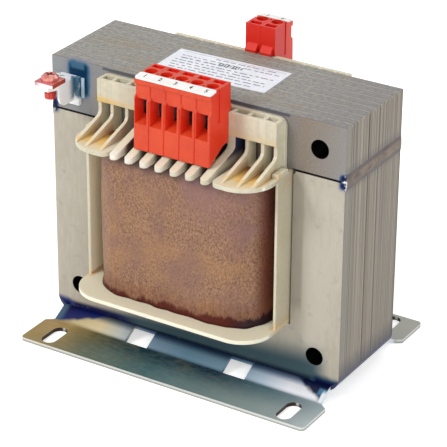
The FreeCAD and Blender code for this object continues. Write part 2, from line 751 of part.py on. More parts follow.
def terminal_pole(label, position, turned):
    """One pole of a terminal block, modelled from its left face in the front block's place."""
    body = new_body(label)
    heel = plus(POLE_BACK, "Sizes.heel_depth")
    foot_front = plus(POLE_FRONT, "Sizes.face_draft")
    frame_top = plus(WINDOW_TOP, "Sizes.face_setback")
    profile = new_sketch(body, label + "_profile", "YZ_Plane")
    outline(profile, [
        (neg(foot_front), POLE_BOTTOM),
        (neg(heel), plus(POLE_BOTTOM, "Sizes.heel_rise")),
        (neg(POLE_BACK), plus(POLE_BOTTOM, "Sizes.heel_rise")),
        (neg(POLE_BACK), HOOK_BOTTOM),
        (neg(NECK), HOOK_BOTTOM),
        (neg(NECK), POLE_TOP),
        (neg(STRIP_BACK), POLE_TOP),
        (neg(STRIP_BACK), "(%s - Sizes.strip_wall)" % POLE_TOP),
        (neg(LIP_FRONT), "(%s - 2 * Sizes.strip_wall)" % POLE_TOP),
        (neg(LIP_FRONT), LIP_BOTTOM),
        (neg(UPPER_FACE), LIP_BOTTOM),
        (neg(UPPER_FACE), frame_top),
        (neg(POLE_FRONT), WINDOW_TOP),
    ])
    pad(body, profile, POLE_WIDTH)
    lower_middle = Vector(0, -value("(%s + %s) / 2" % (foot_front, POLE_FRONT)),
                          value("(%s + %s) / 2" % (POLE_BOTTOM, WINDOW_TOP)))
    upper_middle = Vector(0, -value(UPPER_FACE), value("(%s + %s) / 2" % (frame_top, LIP_BOTTOM)))
    right_face = Vector(value(POLE_WIDTH), 0, 0)
    round_edges(body, "Sizes.edge_bevel", [
        middle + side for middle in (lower_middle, upper_middle) for side in (Vector(), right_face)],
        "Chamfer")

    hook = new_sketch(body, label + "_hook", "YZ_Plane", "(%s - Sizes.hook_width) / 2" % POLE_WIDTH)
    nose = neg("(%s - Sizes.hook_reach)" % POLE_BACK)
    outline(hook, [
        (neg(NECK), HOOK_BOTTOM),
        (nose, HOOK_BOTTOM),
        (nose, plus(HOOK_BOTTOM, "Sizes.hook_face")),
        (neg(NECK), plus(HOOK_BOTTOM, "Sizes.hook_height")),
    ])
    pad(body, hook, "Sizes.hook_width")
    groove_front = "(%s - Sizes.side_groove_setback)" % POLE_FRONT
    right_groove = "%s - Sizes.side_groove_depth" % POLE_WIDTH
    for name, offset in (("_left_groove", "0"), ("_right_groove", right_groove)):
        groove = new_sketch(body, label + name, "YZ_Plane", offset)
        rectangle(groove, neg(groove_front), neg("(%s - Sizes.side_groove_width)" % groove_front),
                  "(%s - Sizes.side_groove_drop)" % POLE_TOP, POLE_TOP)
        pocket(body, groove, "Sizes.side_groove_depth", reverse=True)

    window = new_sketch(body, label + "_window", "YZ_Plane", "Sizes.window_offset")
    beyond = neg(plus(POLE_FRONT, "Sizes.run_out"))
    outline(window, [
        (beyond, plus(WINDOW_SILL, "-Sizes.window_ramp * Sizes.run_out / Sizes.window_depth")),
        (neg(CAGE_FRONT), plus(WINDOW_SILL, "Sizes.window_ramp")),
        (neg(CAGE_FRONT), CAGE_TOP),
        (neg(UPPER_FACE), WINDOW_TOP),
        (neg(UPPER_FACE), frame_top),
        (beyond, frame_top),
    ])
    pocket(body, window, "Sizes.window_width", reverse=True)

    cage_half = "(Sizes.cage_width / 2 + Sizes.cage_clearance)"
    chamber = new_sketch(body, label + "_chamber", "YZ_Plane", "%s - %s" % (WINDOW_MIDDLE, cage_half))
    rectangle(chamber, neg(plus(CAGE_FRONT, "Sizes.cage_clearance")), neg(CAGE_BACK), CAGE_BOTTOM, CAGE_TOP)
    pocket(body, chamber, "2 * %s" % cage_half, reverse=True)

    access = new_sketch(body, label + "_screw_access", "XY_Plane", POLE_TOP)
    circle(access, WINDOW_MIDDLE, neg(ACCESS_Y), "Sizes.access_diameter / 2")
    pocket(body, access, "%s - %s" % (POLE_TOP, CAGE_TOP))

    test = new_sketch(body, label + "_test_slot", "XY_Plane", POLE_TOP)
    test_y = "(%s - Sizes.test_slot_setback)" % POLE_FRONT
    rectangle(test, "(%s - Sizes.test_slot_width / 2)" % WINDOW_MIDDLE,
              "(%s + Sizes.test_slot_width / 2)" % WINDOW_MIDDLE,
              neg(plus(test_y, "Sizes.test_slot_depth / 2")),
              neg("(%s - Sizes.test_slot_depth / 2)" % test_y))
    pocket(body, test, "Sizes.test_slot_sink")

    socket = new_sketch(body, label + "_lead_socket", "XY_Plane", POLE_BOTTOM)
    middle = "(%s / 2)" % POLE_WIDTH
    rectangle(socket, "(%s - Sizes.lead_socket_width / 2)" % middle,
              plus(middle, "Sizes.lead_socket_width / 2"),
              neg(plus(LEAD_Y, "Sizes.lead_socket_depth / 2")),
              neg("(%s - Sizes.lead_socket_depth / 2)" % LEAD_Y))
    pocket(body, socket, "Sizes.heel_rise + Sizes.lead_entry", reverse=True)
    place_x(body, position, turned)
    return body


def terminal_group(side, offset, count, turned):
    """A block of poles side by side, with the metal in them and the strip along the top."""
    pieces = []
    start = "(Sizes.%s - %d * Sizes.terminal_pitch / 2)" % (offset, count)
    positions = []
    for index in range(count):
        step = index + 1 if turned else index
        positions.append("%s + %d * Sizes.terminal_pitch" % (start, step))
    for index, position in enumerate(positions, start=1):
        pieces.append(terminal_pole("terminal_pole_%s_%d" % (side, index), position, turned))
    pieces.append(clamp_cages("clamp_cages_" + side, positions, turned))
    pieces.append(clamp_screws("clamp_screws_" + side, positions, turned))
    pieces.append(winding_leads("winding_leads_" + side, count, turned))
    end = "%s + %d * Sizes.terminal_pitch" % (start, count if turned else 0)
    pieces.append(marker_strip("marker_strip_" + side, end, count, turned))
    return pieces


def group(label, solids):
    """Like pieces kept together as one group of separate solids."""
    compound = doc.addObject("Part::Compound", label)
    compound.Label = label
    compound.Links = solids
    return compound


def bound(piece, **expressions):
    for name, expression in expressions.items():
        piece.setExpression(name.replace("__", "."), expression)
    return piece


def box(name, x, y, z, length, width, height):
    piece = doc.addObject("Part::Box", name)
    return bound(piece, Length=length, Width=width, Height=height,
                 Placement__Base__x=x, Placement__Base__y=y, Placement__Base__z=z)


def cylinder(name, x, y, z, radius, height):
    piece = doc.addObject("Part::Cylinder", name)
    return bound(piece, Radius=radius, Height=height,
                 Placement__Base__x=x, Placement__Base__y=y, Placement__Base__z=z)


def cut(name, base, tool):
    piece = doc.addObject("Part::Cut", name)
    piece.Base = base
    piece.Tool = tool
    return piece


def clamp_cages(label, positions, turned):
    """A square steel cage in each pole, open to the wire at the front and threaded on top."""
    solids = []
    left = "(%s - Sizes.cage_width / 2)" % WINDOW_MIDDLE
    front = neg(CAGE_FRONT)
    low = plus(CAGE_BOTTOM, "Sizes.cage_clearance")
    for index, position in enumerate(positions, start=1):
        name = "%s_%d" % (label, index)
        block = box(name + "_block", left, front, low,
                    "Sizes.cage_width", "Sizes.cage_depth", "Sizes.cage_height")
        mouth = box(name + "_mouth", plus(left, "Sizes.cage_wall"), plus(front, "-Sizes.run_out"),
                    plus(low, "Sizes.cage_wall"), "Sizes.cage_width - 2 * Sizes.cage_wall",
                    "Sizes.cage_depth + 2 * Sizes.run_out", "Sizes.cage_height - 3 * Sizes.cage_wall")
        thread = cylinder(name + "_thread", WINDOW_MIDDLE, neg(ACCESS_Y),
                          plus(low, "Sizes.cage_height - 2 * Sizes.cage_wall - Sizes.run_out"),
                          "Sizes.clamp_screw_diameter / 2 + Sizes.cage_clearance / 2",
                          "Sizes.cage_height")
        cage = cut(name, cut(name + "_open", block, mouth), thread)
        solids.append(place_x(cage, position, turned))
    return group(label, solids)


def clamp_screws(label, positions, turned):
    """The slotted screw through the top of each cage, below its access hole."""
    solids = []
    head = plus(CAGE_TOP, "Sizes.clamp_screw_rise")
    length = plus("Sizes.cage_height / 2", "Sizes.clamp_screw_rise")
    for index, position in enumerate(positions, start=1):
        name = "%s_%d" % (label, index)
        screw = cylinder(name + "_screw", WINDOW_MIDDLE, neg(ACCESS_Y),
                         "%s - %s" % (head, length), "Sizes.clamp_screw_diameter / 2", length)
        slot = box(name + "_slot", "(%s - Sizes.clamp_slot_length / 2)" % WINDOW_MIDDLE,
                   neg(plus(ACCESS_Y, "Sizes.clamp_slot_width / 2")),
                   "%s - Sizes.clamp_slot_depth" % head, "Sizes.clamp_slot_length",
                   "Sizes.clamp_slot_width", "2 * Sizes.clamp_slot_depth")
        solids.append(place_x(cut(name, screw, slot), position, turned))
    return group(label, solids)


def winding_leads(label, count, turned):
    """A flat sleeved lead for each pole, up from the top of the coil between two fingers."""
    solids = []
    low = "(%s - Sizes.coil_clearance)" % CEILING
    length = "%s + Sizes.heel_rise + Sizes.lead_entry / 2 - %s" % (POLE_BOTTOM, low)
    middle = LEAD_Y if turned else neg(LEAD_Y)
    for index in range(count):
        slot = "(%d + 0.5) * Sizes.terminal_pitch" % (index - count // 2)
        solids.append(box("%s_%d" % (label, index + 1), plus(slot, "-Sizes.lead_width / 2"),
                          plus(middle, "-Sizes.lead_sleeve / 2"), low,
                          "Sizes.lead_width", "Sizes.lead_sleeve", length))
    return group(label, solids)


def marker_strip(label, position, count, turned):
    """The strip that carries the numbers of the poles, in the step along their top edge."""
    body = new_body(label)
    gap = "(Sizes.seat_gap / 2)"
    foot_line = "(%s - 2 * Sizes.strip_wall)" % POLE_TOP
    section = new_sketch(body, label + "_section", "YZ_Plane")
    outline(section, [
        (neg(LIP_FRONT), plus(foot_line, gap)),
        (neg("(%s - %s)" % (STRIP_BACK, neg(gap))), plus("(%s - Sizes.strip_wall)" % POLE_TOP, gap)),
        (neg("(%s - %s)" % (STRIP_BACK, neg(gap))), plus(POLE_TOP, gap)),
        (neg(LIP_FRONT), plus(foot_line, "Sizes.strip_wall", gap)),
    ])
    pad(body, section, "%d * Sizes.terminal_pitch - Sizes.pole_gap" % count)
    place_x(body, position, turned)
    return body


def earth_bracket():
    """A stamped tab welded to the yoke: base plate, shelf for the screw, and side ear."""
    body = new_body("earth_bracket")
    left = EARTH_LEFT
    right = plus(left, "Sizes.earth_width")
    base_right = plus(left, "Sizes.earth_base_width")
    base = new_sketch(body, "earth_base", "XZ_Plane", HALF_DEPTH)
    rectangle(base, left, base_right, "(%s - Sizes.earth_base_height)" % EARTH_TOP, EARTH_TOP)
    pad(body, base, "Sizes.earth_sheet")
    shelf = new_sketch(body, "earth_shelf", "XY_Plane", "%s - Sizes.earth_sheet" % EARTH_TOP)
    half = "(Sizes.earth_width / 2)"
    outline(shelf, [
        (left, neg(HALF_DEPTH)),
        (left, neg(EARTH_SCREW_Y)),
        (plus(left, "Sizes.earth_width / 4"), neg(plus(EARTH_SCREW_Y, half))),
        (plus(right, "-Sizes.earth_width / 4"), neg(plus(EARTH_SCREW_Y, half))),
        (right, neg(EARTH_SCREW_Y)),
        (right, neg(HALF_DEPTH)),
    ])
    pad(body, shelf, "Sizes.earth_sheet")
    ear = new_sketch(body, "earth_ear", "YZ_Plane", right)
    ear_front = EARTH_SCREW_Y
    ear_low = "(%s - Sizes.earth_sheet - Sizes.earth_tab_height)" % EARTH_TOP
    corner = "Sizes.earth_tab_corner"
    outline(ear, [
        (neg(HALF_DEPTH), EARTH_TOP),
        (neg(ear_front), EARTH_TOP),
        (neg(ear_front), plus(ear_low, corner), corner),
        (neg("(%s - %s)" % (ear_front, corner)), ear_low),
        (neg(plus(HALF_DEPTH, "Sizes.earth_sheet / 2")), ear_low),
    ])
    pad(body, ear, "Sizes.earth_sheet / 2", reverse=True)
    hole = new_sketch(body, "earth_hole", "XY_Plane", EARTH_TOP)
    circle(hole, EARTH_X, neg(EARTH_SCREW_Y), "Sizes.earth_screw_diameter / 2 + Sizes.seat_gap")
    pocket(body, hole, "2 * Sizes.earth_sheet")
    return body


def earth_saddle():
    """The square saddle that the screw presses on the wire."""
    body = new_body("earth_saddle")
    half = "(Sizes.earth_width / 2)"
    outer = new_sketch(body, "saddle", "XY_Plane", EARTH_TOP)
    rectangle(outer, "(%s - %s)" % (EARTH_X, half), plus(EARTH_X, half),
              neg(plus(EARTH_SCREW_Y, half)), neg("(%s - %s)" % (EARTH_SCREW_Y, half)))
    circle(outer, EARTH_X, neg(EARTH_SCREW_Y), "Sizes.earth_screw_diameter / 2 + Sizes.seat_gap")
    pad(body, outer, "Sizes.saddle_wall")
    return body


def earth_screw():
    """A pan-headed screw with a cross recess, upright through the saddle and the shelf."""
    body = new_body("earth_screw")
    seat = plus(EARTH_TOP, "Sizes.saddle_wall")
    radius = "(Sizes.earth_head_diameter / 2)"
    shank = "(Sizes.earth_screw_diameter / 2)"
    crest = plus(seat, "Sizes.earth_head_height")
    profile = new_sketch(body, "screw_profile", "XZ_Plane")
    outline(profile, [
        ("0", "(%s - Sizes.earth_screw_length)" % seat),
        (shank, "(%s - Sizes.earth_screw_length)" % seat),
        (shank, seat),
        (radius, seat),
        (radius, "(%s - Sizes.earth_head_bevel)" % crest),
        ("(%s - Sizes.earth_head_bevel)" % radius, crest),
        ("0", crest),
    ])
    turned = body.newObject("PartDesign::Revolution", "screw_turned")
    turned.Profile = profile
    turned.ReferenceAxis = (profile, ["V_Axis"])
    turned.Angle = 360
    body.Tip = turned
    recess = new_sketch(body, "cross_recess", "XY_Plane", crest)
    arm = "(Sizes.recess_span / 2)"
    half = "(Sizes.recess_width / 2)"
    outline(recess, [
        (arm, neg(half)), (arm, half), (half, half), (half, arm),
        (neg(half), arm), (neg(half), half), (neg(arm), half), (neg(arm), neg(half)),
        (neg(half), neg(half)), (neg(half), neg(arm)), (half, neg(arm)), (half, neg(half)),
    ])
    pocket(body, recess, "Sizes.recess_depth")
    bound(body, Placement__Base__x=EARTH_X, Placement__Base__y=neg(EARTH_SCREW_Y))
    return body


def rating_label():
    """A thin sticker on the top of the core, a little askew."""
    label = doc.addObject("Part::Box", "rating_label")
    label.Label = "rating_label"
    bound(label, Length="Sizes.label_length", Width="Sizes.label_depth", Height="Sizes.label_wall")
    turn = math.radians(value("Sizes.label_turn"))
    half_x = value("Sizes.label_length") / 2
    half_y = value("Sizes.label_depth") / 2
    corner = Vector(value("Sizes.label_shift") - half_x * math.cos(turn) + half_y * math.sin(turn),
                    -half_x * math.sin(turn) - half_y * math.cos(turn), value(CORE_TOP))
    turn_about(label, math.degrees(turn))
    label.Placement.Base = corner
    return label


def coil():
    primary = "Sizes.primary_build"
    insulated = plus(primary, "Sizes.layer_insulation")
    wrapped = "(%s - Sizes.side_wall - Sizes.coil_side_gap - %s)" % (BOBBIN_X, TUBE_X)
    wound = "(%s - Sizes.wrap_build)" % wrapped
    return [
        coil_layer("primary_winding", "0", primary),
        coil_layer("layer_insulation", primary, insulated),
        coil_layer("secondary_winding", insulated, wound),
        coil_layer("coil_wrap", wound, wrapped),
    ]


def check(piece):
    """Stops the run when a piece didn't come out as one sound shape."""
    if piece.Shape.isNull() or not piece.Shape.isValid():
        raise RuntimeError("%s has no sound shape" % piece.Label)
    if not piece.Shape.Solids:
        raise RuntimeError("%s holds no solid" % piece.Label)


pieces = [
    core_e_stack(),
    core_i_stack(),
    joint_weld("joint_weld_right", False),
    joint_weld("joint_weld_left", True),
    foot("foot_front", False),
    foot("foot_back", True),
    foot_weld("foot_weld_right", False),
    foot_weld("foot_weld_left", True),
    bobbin(),
    *coil(),
    *terminal_group("front", "front_block_offset", FRONT_POLES, False),
    *terminal_group("back", "back_block_offset", BACK_POLES, True),
    earth_bracket(),
    earth_saddle(),
    earth_screw(),
    rating_label(),
]
doc.recompute()

for item in doc.Objects:
    if "Invalid" in item.State or "Error" in item.State:
        raise RuntimeError("%s could not be worked out" % item.Label)
for piece in pieces:
    check(piece)

os.makedirs("parts", exist_ok=True)
for piece in pieces:
    piece.Shape.exportStep(os.path.join("parts", piece.Label + ".step"))
    print("%-26s %d solid(s), %9.1f mm3" % (piece.Label, len(piece.Shape.Solids), piece.Shape.Volume))
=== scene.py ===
import logging
import math
import random
from dataclasses import dataclass
from enum import Enum
from typing import Callable, Iterable, Sequence

import bmesh
import bpy
from mathutils import Matrix, Vector, noise


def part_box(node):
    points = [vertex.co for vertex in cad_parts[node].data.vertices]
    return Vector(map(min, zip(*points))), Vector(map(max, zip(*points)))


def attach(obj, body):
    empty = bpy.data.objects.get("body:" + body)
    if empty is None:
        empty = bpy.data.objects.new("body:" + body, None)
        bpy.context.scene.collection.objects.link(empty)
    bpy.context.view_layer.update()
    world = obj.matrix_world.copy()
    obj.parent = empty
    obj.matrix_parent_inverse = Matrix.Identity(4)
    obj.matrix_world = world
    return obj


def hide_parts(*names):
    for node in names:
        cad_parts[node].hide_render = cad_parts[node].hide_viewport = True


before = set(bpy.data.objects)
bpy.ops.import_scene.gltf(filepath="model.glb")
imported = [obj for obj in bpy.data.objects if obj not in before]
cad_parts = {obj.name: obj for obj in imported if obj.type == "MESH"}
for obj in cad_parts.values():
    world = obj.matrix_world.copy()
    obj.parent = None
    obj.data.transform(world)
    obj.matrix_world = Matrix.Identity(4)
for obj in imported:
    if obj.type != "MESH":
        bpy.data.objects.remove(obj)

log = logging.getLogger("transformer")

ROOT = "root"
MM = 0.001
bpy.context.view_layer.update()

Colour = tuple[float, float, float]


def mm(*values: float) -> Vector:
    """A place given in millimetres, in metres."""
    return Vector(values) * MM


def tone(red: float, green: float, blue: float) -> tuple[float, float, float, float]:
    """Turns a screen colour into the linear colour that a shader takes.

    Args:
        red, green, blue: the colour as it shows on a screen, 0 to 255.

    Returns:
        The linear colour with full alpha.
    """
    linear = []
    for channel in (red, green, blue):
        share = channel / 255
        linear.append(share / 12.92 if share <= 0.04045 else ((share + 0.055) / 1.055) ** 2.4)
    return (linear[0], linear[1], linear[2], 1.0)


def grey(level: float) -> tuple[float, float, float, float]:
    """A linear grey, which serves as a share between 0 and 1."""
    return (level, level, level, 1)


class Side(Enum):
    """The two faces of the core that carry a terminal block."""

    FRONT = -1
    BACK = 1


class Signal:
    """A node's output, open to plain arithmetic: each step adds a node."""

    def __init__(self, wiring: "Wiring", socket: bpy.types.NodeSocket) -> None:
        """Keeps the output and the wiring that it belongs to."""
        self.wiring = wiring
        self.socket = socket

    def __add__(self, other: object) -> "Signal":
        """The sum."""
        return self.wiring.maths("ADD", self, other)

    def __mul__(self, other: object) -> "Signal":
        """The product."""
        return self.wiring.maths("MULTIPLY", self, other)

    def __sub__(self, other: object) -> "Signal":
        """What is left when the other is taken off."""
        return self.wiring.maths("SUBTRACT", self, other)

    def __rsub__(self, other: object) -> "Signal":
        """What is left of the other when this is taken off."""
        return self.wiring.maths("SUBTRACT", other, self)

    def __truediv__(self, other: object) -> "Signal":
        """The quotient."""
        return self.wiring.maths("DIVIDE", self, other)

    def __abs__(self) -> "Signal":
        """The size without its sign."""
        return self.wiring.maths("ABSOLUTE", self)

    def __gt__(self, other: object) -> "Signal":
        """1 where this is more than the other, else 0."""
        return self.wiring.maths("GREATER_THAN", self, other)

    def __lt__(self, other: object) -> "Signal":
        """1 where this is less than the other, else 0."""
        return self.wiring.maths("LESS_THAN", self, other)

    __radd__ = __add__
    __rmul__ = __mul__


class Wiring:
    """Short ways to add and join the nodes of one node tree. Lengths are in millimetres."""

    def __init__(self, tree: bpy.types.NodeTree) -> None:
        """Keeps the tree that the nodes go into."""
        self.tree = tree

    def add(self, kind: str, **settings: object) -> bpy.types.Node:
        """Adds a node of a kind, with its properties set by name.

        Args:
            kind: the node's type.
            settings: its properties, by name.

        Returns:
            The new node.
        """
        node = self.tree.nodes.new(kind)
        for name, value in settings.items():
            setattr(node, name, value)
        return node

    def feed(self, socket: bpy.types.NodeSocket, source: object) -> None:
        """Joins a socket to a source or sets its value, where a triple is a screen colour.

        Args:
            socket: the input.
            source: an output, a value or a screen colour.
        """
        if isinstance(source, (Signal, bpy.types.NodeSocket)):
            self.tree.links.new(getattr(source, "socket", source), socket)
        elif isinstance(source, tuple) and len(source) == 3:
            socket.default_value = tone(*source)
        else:
            socket.default_value = source

    def out(self, node: bpy.types.Node, key: int | str = 0) -> Signal:
        """One output of a node, by its place or name."""
        return Signal(self, node.outputs[key])

    def step(self, node: bpy.types.Node, sources: Iterable[object], key: int | str = 0) -> Signal:
        """Feeds a node's first inputs in order, and gives one of its outputs.

        Args:
            node: the node.
            sources: what its first inputs take, in order.
            key: the output's place or name.

        Returns:
            The output.
        """
        for socket, source in zip(node.inputs, sources):
            self.feed(socket, source)
        return self.out(node, key)

    def maths(self, operation: str, *sources: object, clamp: bool = False) -> Signal:
        """One step of arithmetic, kept between 0 and 1 where it is clamped."""
        return self.step(self.add("ShaderNodeMath", operation=operation, use_clamp=clamp), sources)

    def vector(self, operation: str, *sources: object, key: str = "Vector") -> Signal:
        """One step of vector arithmetic."""
        return self.step(self.add("ShaderNodeVectorMath", operation=operation), sources, key)

    def axes(self, vector: Signal) -> tuple[Signal, Signal, Signal]:
        """The three parts of a vector.

        Args:
            vector: the coordinates.

        Returns:
            The three parts.
        """
        node = self.add("ShaderNodeSeparateXYZ")
        self.feed(node.inputs[0], vector)
        return self.out(node, 0), self.out(node, 1), self.out(node, 2)

    def facing(self) -> tuple[Signal, ...]:
        """How squarely the surface faces along X, Y and Z, whichever way."""
        normal = self.out(self.add("ShaderNodeTexCoord"), "Normal")
        return tuple(abs(part) for part in self.axes(normal))

    def stretch(self, vector: Signal, x: float, y: float, z: float) -> Signal:
        """A vector with each of its parts scaled."""
        return self.vector("MULTIPLY", vector, Vector((x, y, z)))

    def noise(self, vector: Signal, scale: object, detail: float = 4.0,
              rough: float = 0.55) -> Signal:
        """Smooth noise, 0 to 1, at so many waves to the metre.

        Args:
            vector: the coordinates.
            scale: how many waves it has to the metre.
            detail: how many finer layers it has.
            rough: how strong the finer layers are.

        Returns:
            The noise.
        """
        node = self.add("ShaderNodeTexNoise")
        given = {"Vector": vector, "Scale": scale, "Detail": detail, "Roughness": rough}
        for name, source in given.items():
            self.feed(node.inputs[name], source)
        return self.out(node, "Fac")

    def patches(self, vector: Signal, scale: float, low: float, high: float,
                detail: float = 3.0, rough: float = 0.55) -> Signal:
        """Noise turned into soft patches, by a step from a low to a high value."""
        return self.ramp(self.noise(vector, scale, detail, rough), low, high)

    def ramp(self, value: Signal, low: float, high: float) -> Signal:
        """A smooth step from 0 at low to 1 at high, or the other way round."""
        node = self.add("ShaderNodeMapRange", interpolation_type="SMOOTHSTEP")
        return self.step(node, (value, low, high), "Result")

    def rise(self, length: Signal, low: float, high: float) -> Signal:
        """A smooth step between two lengths."""
        return self.ramp(length, low * MM, high * MM)

    def band(self, length: Signal, middle: float, half: float, soft: float) -> Signal:
        """1 within half of the middle, fading to 0 over the soft distance."""
        return self.rise(abs(length - middle * MM), half + soft, half)

    def inside(self, length: Signal, low: float, high: float, soft: float) -> Signal:
        """1 between two lengths, fading to 0 over the soft distance outside them."""
        return self.band(length, (low + high) / 2, (high - low) / 2, soft)

    def near_box(self, place: Signal, centre: Vector, half: Vector, reach: float) -> Signal:
        """How near a place is to a box.

        Args:
            place: the object coordinates.
            centre, half: the box's middle and half size, in metres.
            reach: the distance at which nothing is left, in metres.

        Returns:
            1 in the box, falling evenly to 0 at the reach.
        """
        size = self.vector("ABSOLUTE", self.vector("SUBTRACT", place, centre))
        outside = self.vector("MAXIMUM", self.vector("SUBTRACT", size, half), Vector())
        length = self.vector("LENGTH", outside, key="Value")
        return self.maths("SUBTRACT", 1.0, length / reach, clamp=True)

    def blend(self, share: object, base: object, over: object, mode: str = "MIX") -> Signal:
        """Lays one colour over another, in a blend mode, as far as the share says.

        Args:
            share: how much of the upper colour shows.
            base: the lower colour.
            over: the upper colour.
            mode: the blend mode.

        Returns:
            The mixed colour.
        """
        node = self.add("ShaderNodeMix", data_type="RGBA", blend_type=mode)
        for key, source in (("Factor", share), (6, base), (7, over)):
            self.feed(node.inputs[key], source)
        return self.out(node, 2)

    def scale(self, length: Signal, low: float, high: float,
              *stops: tuple[float, Colour]) -> Signal:
        """A colour that follows a length.

        Args:
            length: the length, such as a coordinate.
            low, high: where the scale starts and ends.
            stops: each stop's length and screen colour, in order.

        Returns:
            The colour.
        """
        share = self.step(self.add("ShaderNodeMapRange"), (length, low * MM, high * MM), "Result")
        node = self.add("ShaderNodeValToRGB")
        marks = node.color_ramp.elements
        marks.remove(marks[1])
        for index, (at, screen) in enumerate(stops):
            mark = marks[0] if index == 0 else marks.new((at - low) / (high - low))
            mark.position = (at - low) / (high - low)
            mark.color = tone(*screen)
        return self.step(node, (share,), "Color")

    def bump(self, height: Signal, strength: float, depth: float,
             normal: Signal | None = None) -> Signal:
        """A normal from a height and its depth.

        Args:
            height: the height.
            strength: how much the height counts.
            depth: how deep the height goes, in millimetres.
            normal: the normal to start from.

        Returns:
            The normal.
        """
        node = self.add("ShaderNodeBump")
        node.inputs["Strength"].default_value = strength
        node.inputs["Distance"].default_value = depth * MM
        self.feed(node.inputs["Height"], height)
        if normal is not None:
            self.feed(node.inputs["Normal"], normal)
        return self.out(node, "Normal")

    def rounded(self, radius: object, samples: int) -> Signal:
        """A normal that rounds the edges, by a radius in metres.

        Args:
            radius: the radius, in metres.
            samples: how many samples it takes.

        Returns:
            The normal.
        """
        node = self.add("ShaderNodeBevel", samples=samples)
        self.feed(node.inputs["Radius"], radius)
        return self.out(node, "Normal")

    def use(self, group: bpy.types.NodeTree, **inputs: object) -> tuple[Signal, Signal]:
        """Places a shader node group with its inputs by name, and gives its two outputs.

        Args:
            group: the group's tree.
            inputs: what each input takes, by its name.

        Returns:
            The two outputs.
        """
        node = self.add("ShaderNodeGroup", node_tree=group)
        for name, source in inputs.items():
            self.feed(node.inputs[name], source)
        return self.out(node, 0), self.out(node, 1)

    def mottled(self, groups: "Groups", vector: Signal, coarse: float, fine: float, dark: Colour,
                light: Colour) -> tuple["Paint", Signal]:
        """A mottled ground to paint on.

        Args:
            groups: the shared node groups.
            vector: the coordinates.
            coarse, fine: how many waves to the metre its two noises have.
            dark, light: its two screen colours.

        Returns:
            The ground and its mask.
        """
        colour, mask = self.use(groups.mottle, Vector=vector, Coarse=coarse, Fine=fine,
                                Dark=dark, Light=light)
        return Paint(self, colour), mask


class Paint:
    """A colour built up in layers."""

    def __init__(self, wiring: Wiring, colour: Signal) -> None:
        """Starts from a first colour."""
        self.wiring = wiring
        self.colour = colour

    def lay(self, share: object, over: object, mode: str = "MIX") -> None:
        """Lays a colour over what is there, as far as the share says."""
        self.colour = self.wiring.blend(share, self.colour, over, mode)


def new_group(name: str, inputs: dict[str, object], outputs: Sequence[str],
              fill: Callable[..., Sequence[Signal]]) -> bpy.types.NodeTree:
    """Builds a shader node group.

    Args:
        name: the group's name.
        inputs: each input's default, by its name: a number, a colour, or None for a vector.
        outputs: the names of the outputs. The one named Colour is a colour, any other a number.
        fill: adds the nodes, given the wiring and the inputs, and gives the outputs.

    Returns:
        The finished group.
    """
    tree = bpy.data.node_groups.new(name, "ShaderNodeTree")
    for label, default in inputs.items():
        kind = "Vector" if default is None else "Color" if isinstance(default, tuple) else "Float"
        socket = tree.interface.new_socket(name=label, in_out="INPUT",
                                           socket_type="NodeSocket" + kind)
        if default is not None:
            socket.default_value = default
    for label in outputs:
        kind = "NodeSocketColor" if label == "Colour" else "NodeSocketFloat"
        tree.interface.new_socket(name=label, in_out="OUTPUT", socket_type=kind)
    w = Wiring(tree)
    given = w.add("NodeGroupInput")
    end = w.add("NodeGroupOutput")
    for label, result in zip(outputs, fill(w, *(w.out(given, label) for label in inputs))):
        w.feed(end.inputs[label], result)
    return tree


def fill_mottle(w: Wiring, vector: Signal, coarse: Signal, fine: Signal, dark: Signal,
                light: Signal) -> Sequence[Signal]:
    """Two scales of noise, mixed, as a colour between a dark and a light one.

    Args:
        w: the wiring.
        vector: the coordinates.
        coarse: the scale of the first noise.
        fine: the scale of the second noise.
        dark: the dark colour.
        light: the light colour.

    Returns:
        The colour and the mask.
    """
    mixed = w.noise(vector, coarse, 3.0) * 0.5 + w.noise(vector, fine, 5.0, 0.7) * 0.5
    share = w.ramp(mixed, 0.38, 0.62)
    return w.blend(share, dark, light), share


def fill_sheets(w: Wiring, depth: Signal, sheet: Signal) -> Sequence[Signal]:
    """Stacked sheets across a depth: a shade for each sheet, and the line between sheets.

    Args:
        w: the wiring.
        depth: the coordinate across the sheets.
        sheet: the thickness of a sheet.

    Returns:
        The shade and the line.
    """
    place = depth / sheet
    shade = w.add("ShaderNodeTexWhiteNoise", noise_dimensions="1D")
    w.feed(shade.inputs["W"], w.maths("FLOOR", place))
    gap = abs(w.maths("FRACT", place) - 0.5)
    return w.out(shade, "Value"), w.ramp(gap, 0.36, 0.5)


def fill_tint(w: Wiring, vector: Signal, heat: Signal, steel: Signal, haze: Signal, blue: Signal,
              navy: Signal) -> Sequence[Signal]:
    """The colours that steel takes near a weld, from a pale haze far out to navy close in.

    Args:
        w: the wiring.
        vector: the coordinates.
        heat: how near the weld is.
        steel: the colour of cold steel.
        haze: the colour far out.
        blue: the colour between.
        navy: the colour close in.

    Returns:
        The colour and the mask.
    """
    near = heat + (w.noise(vector, 330.0, 3.0) - 0.5) * 0.3
    paint = Paint(w, w.blend(w.ramp(near, 0.02, 0.4) * 0.6, steel, haze))
    paint.lay(w.ramp(near, 0.3, 0.62), blue)
    paint.lay(w.ramp(near, 0.55, 0.85), navy)
    return paint.colour, w.ramp(near, 0.3, 0.8)


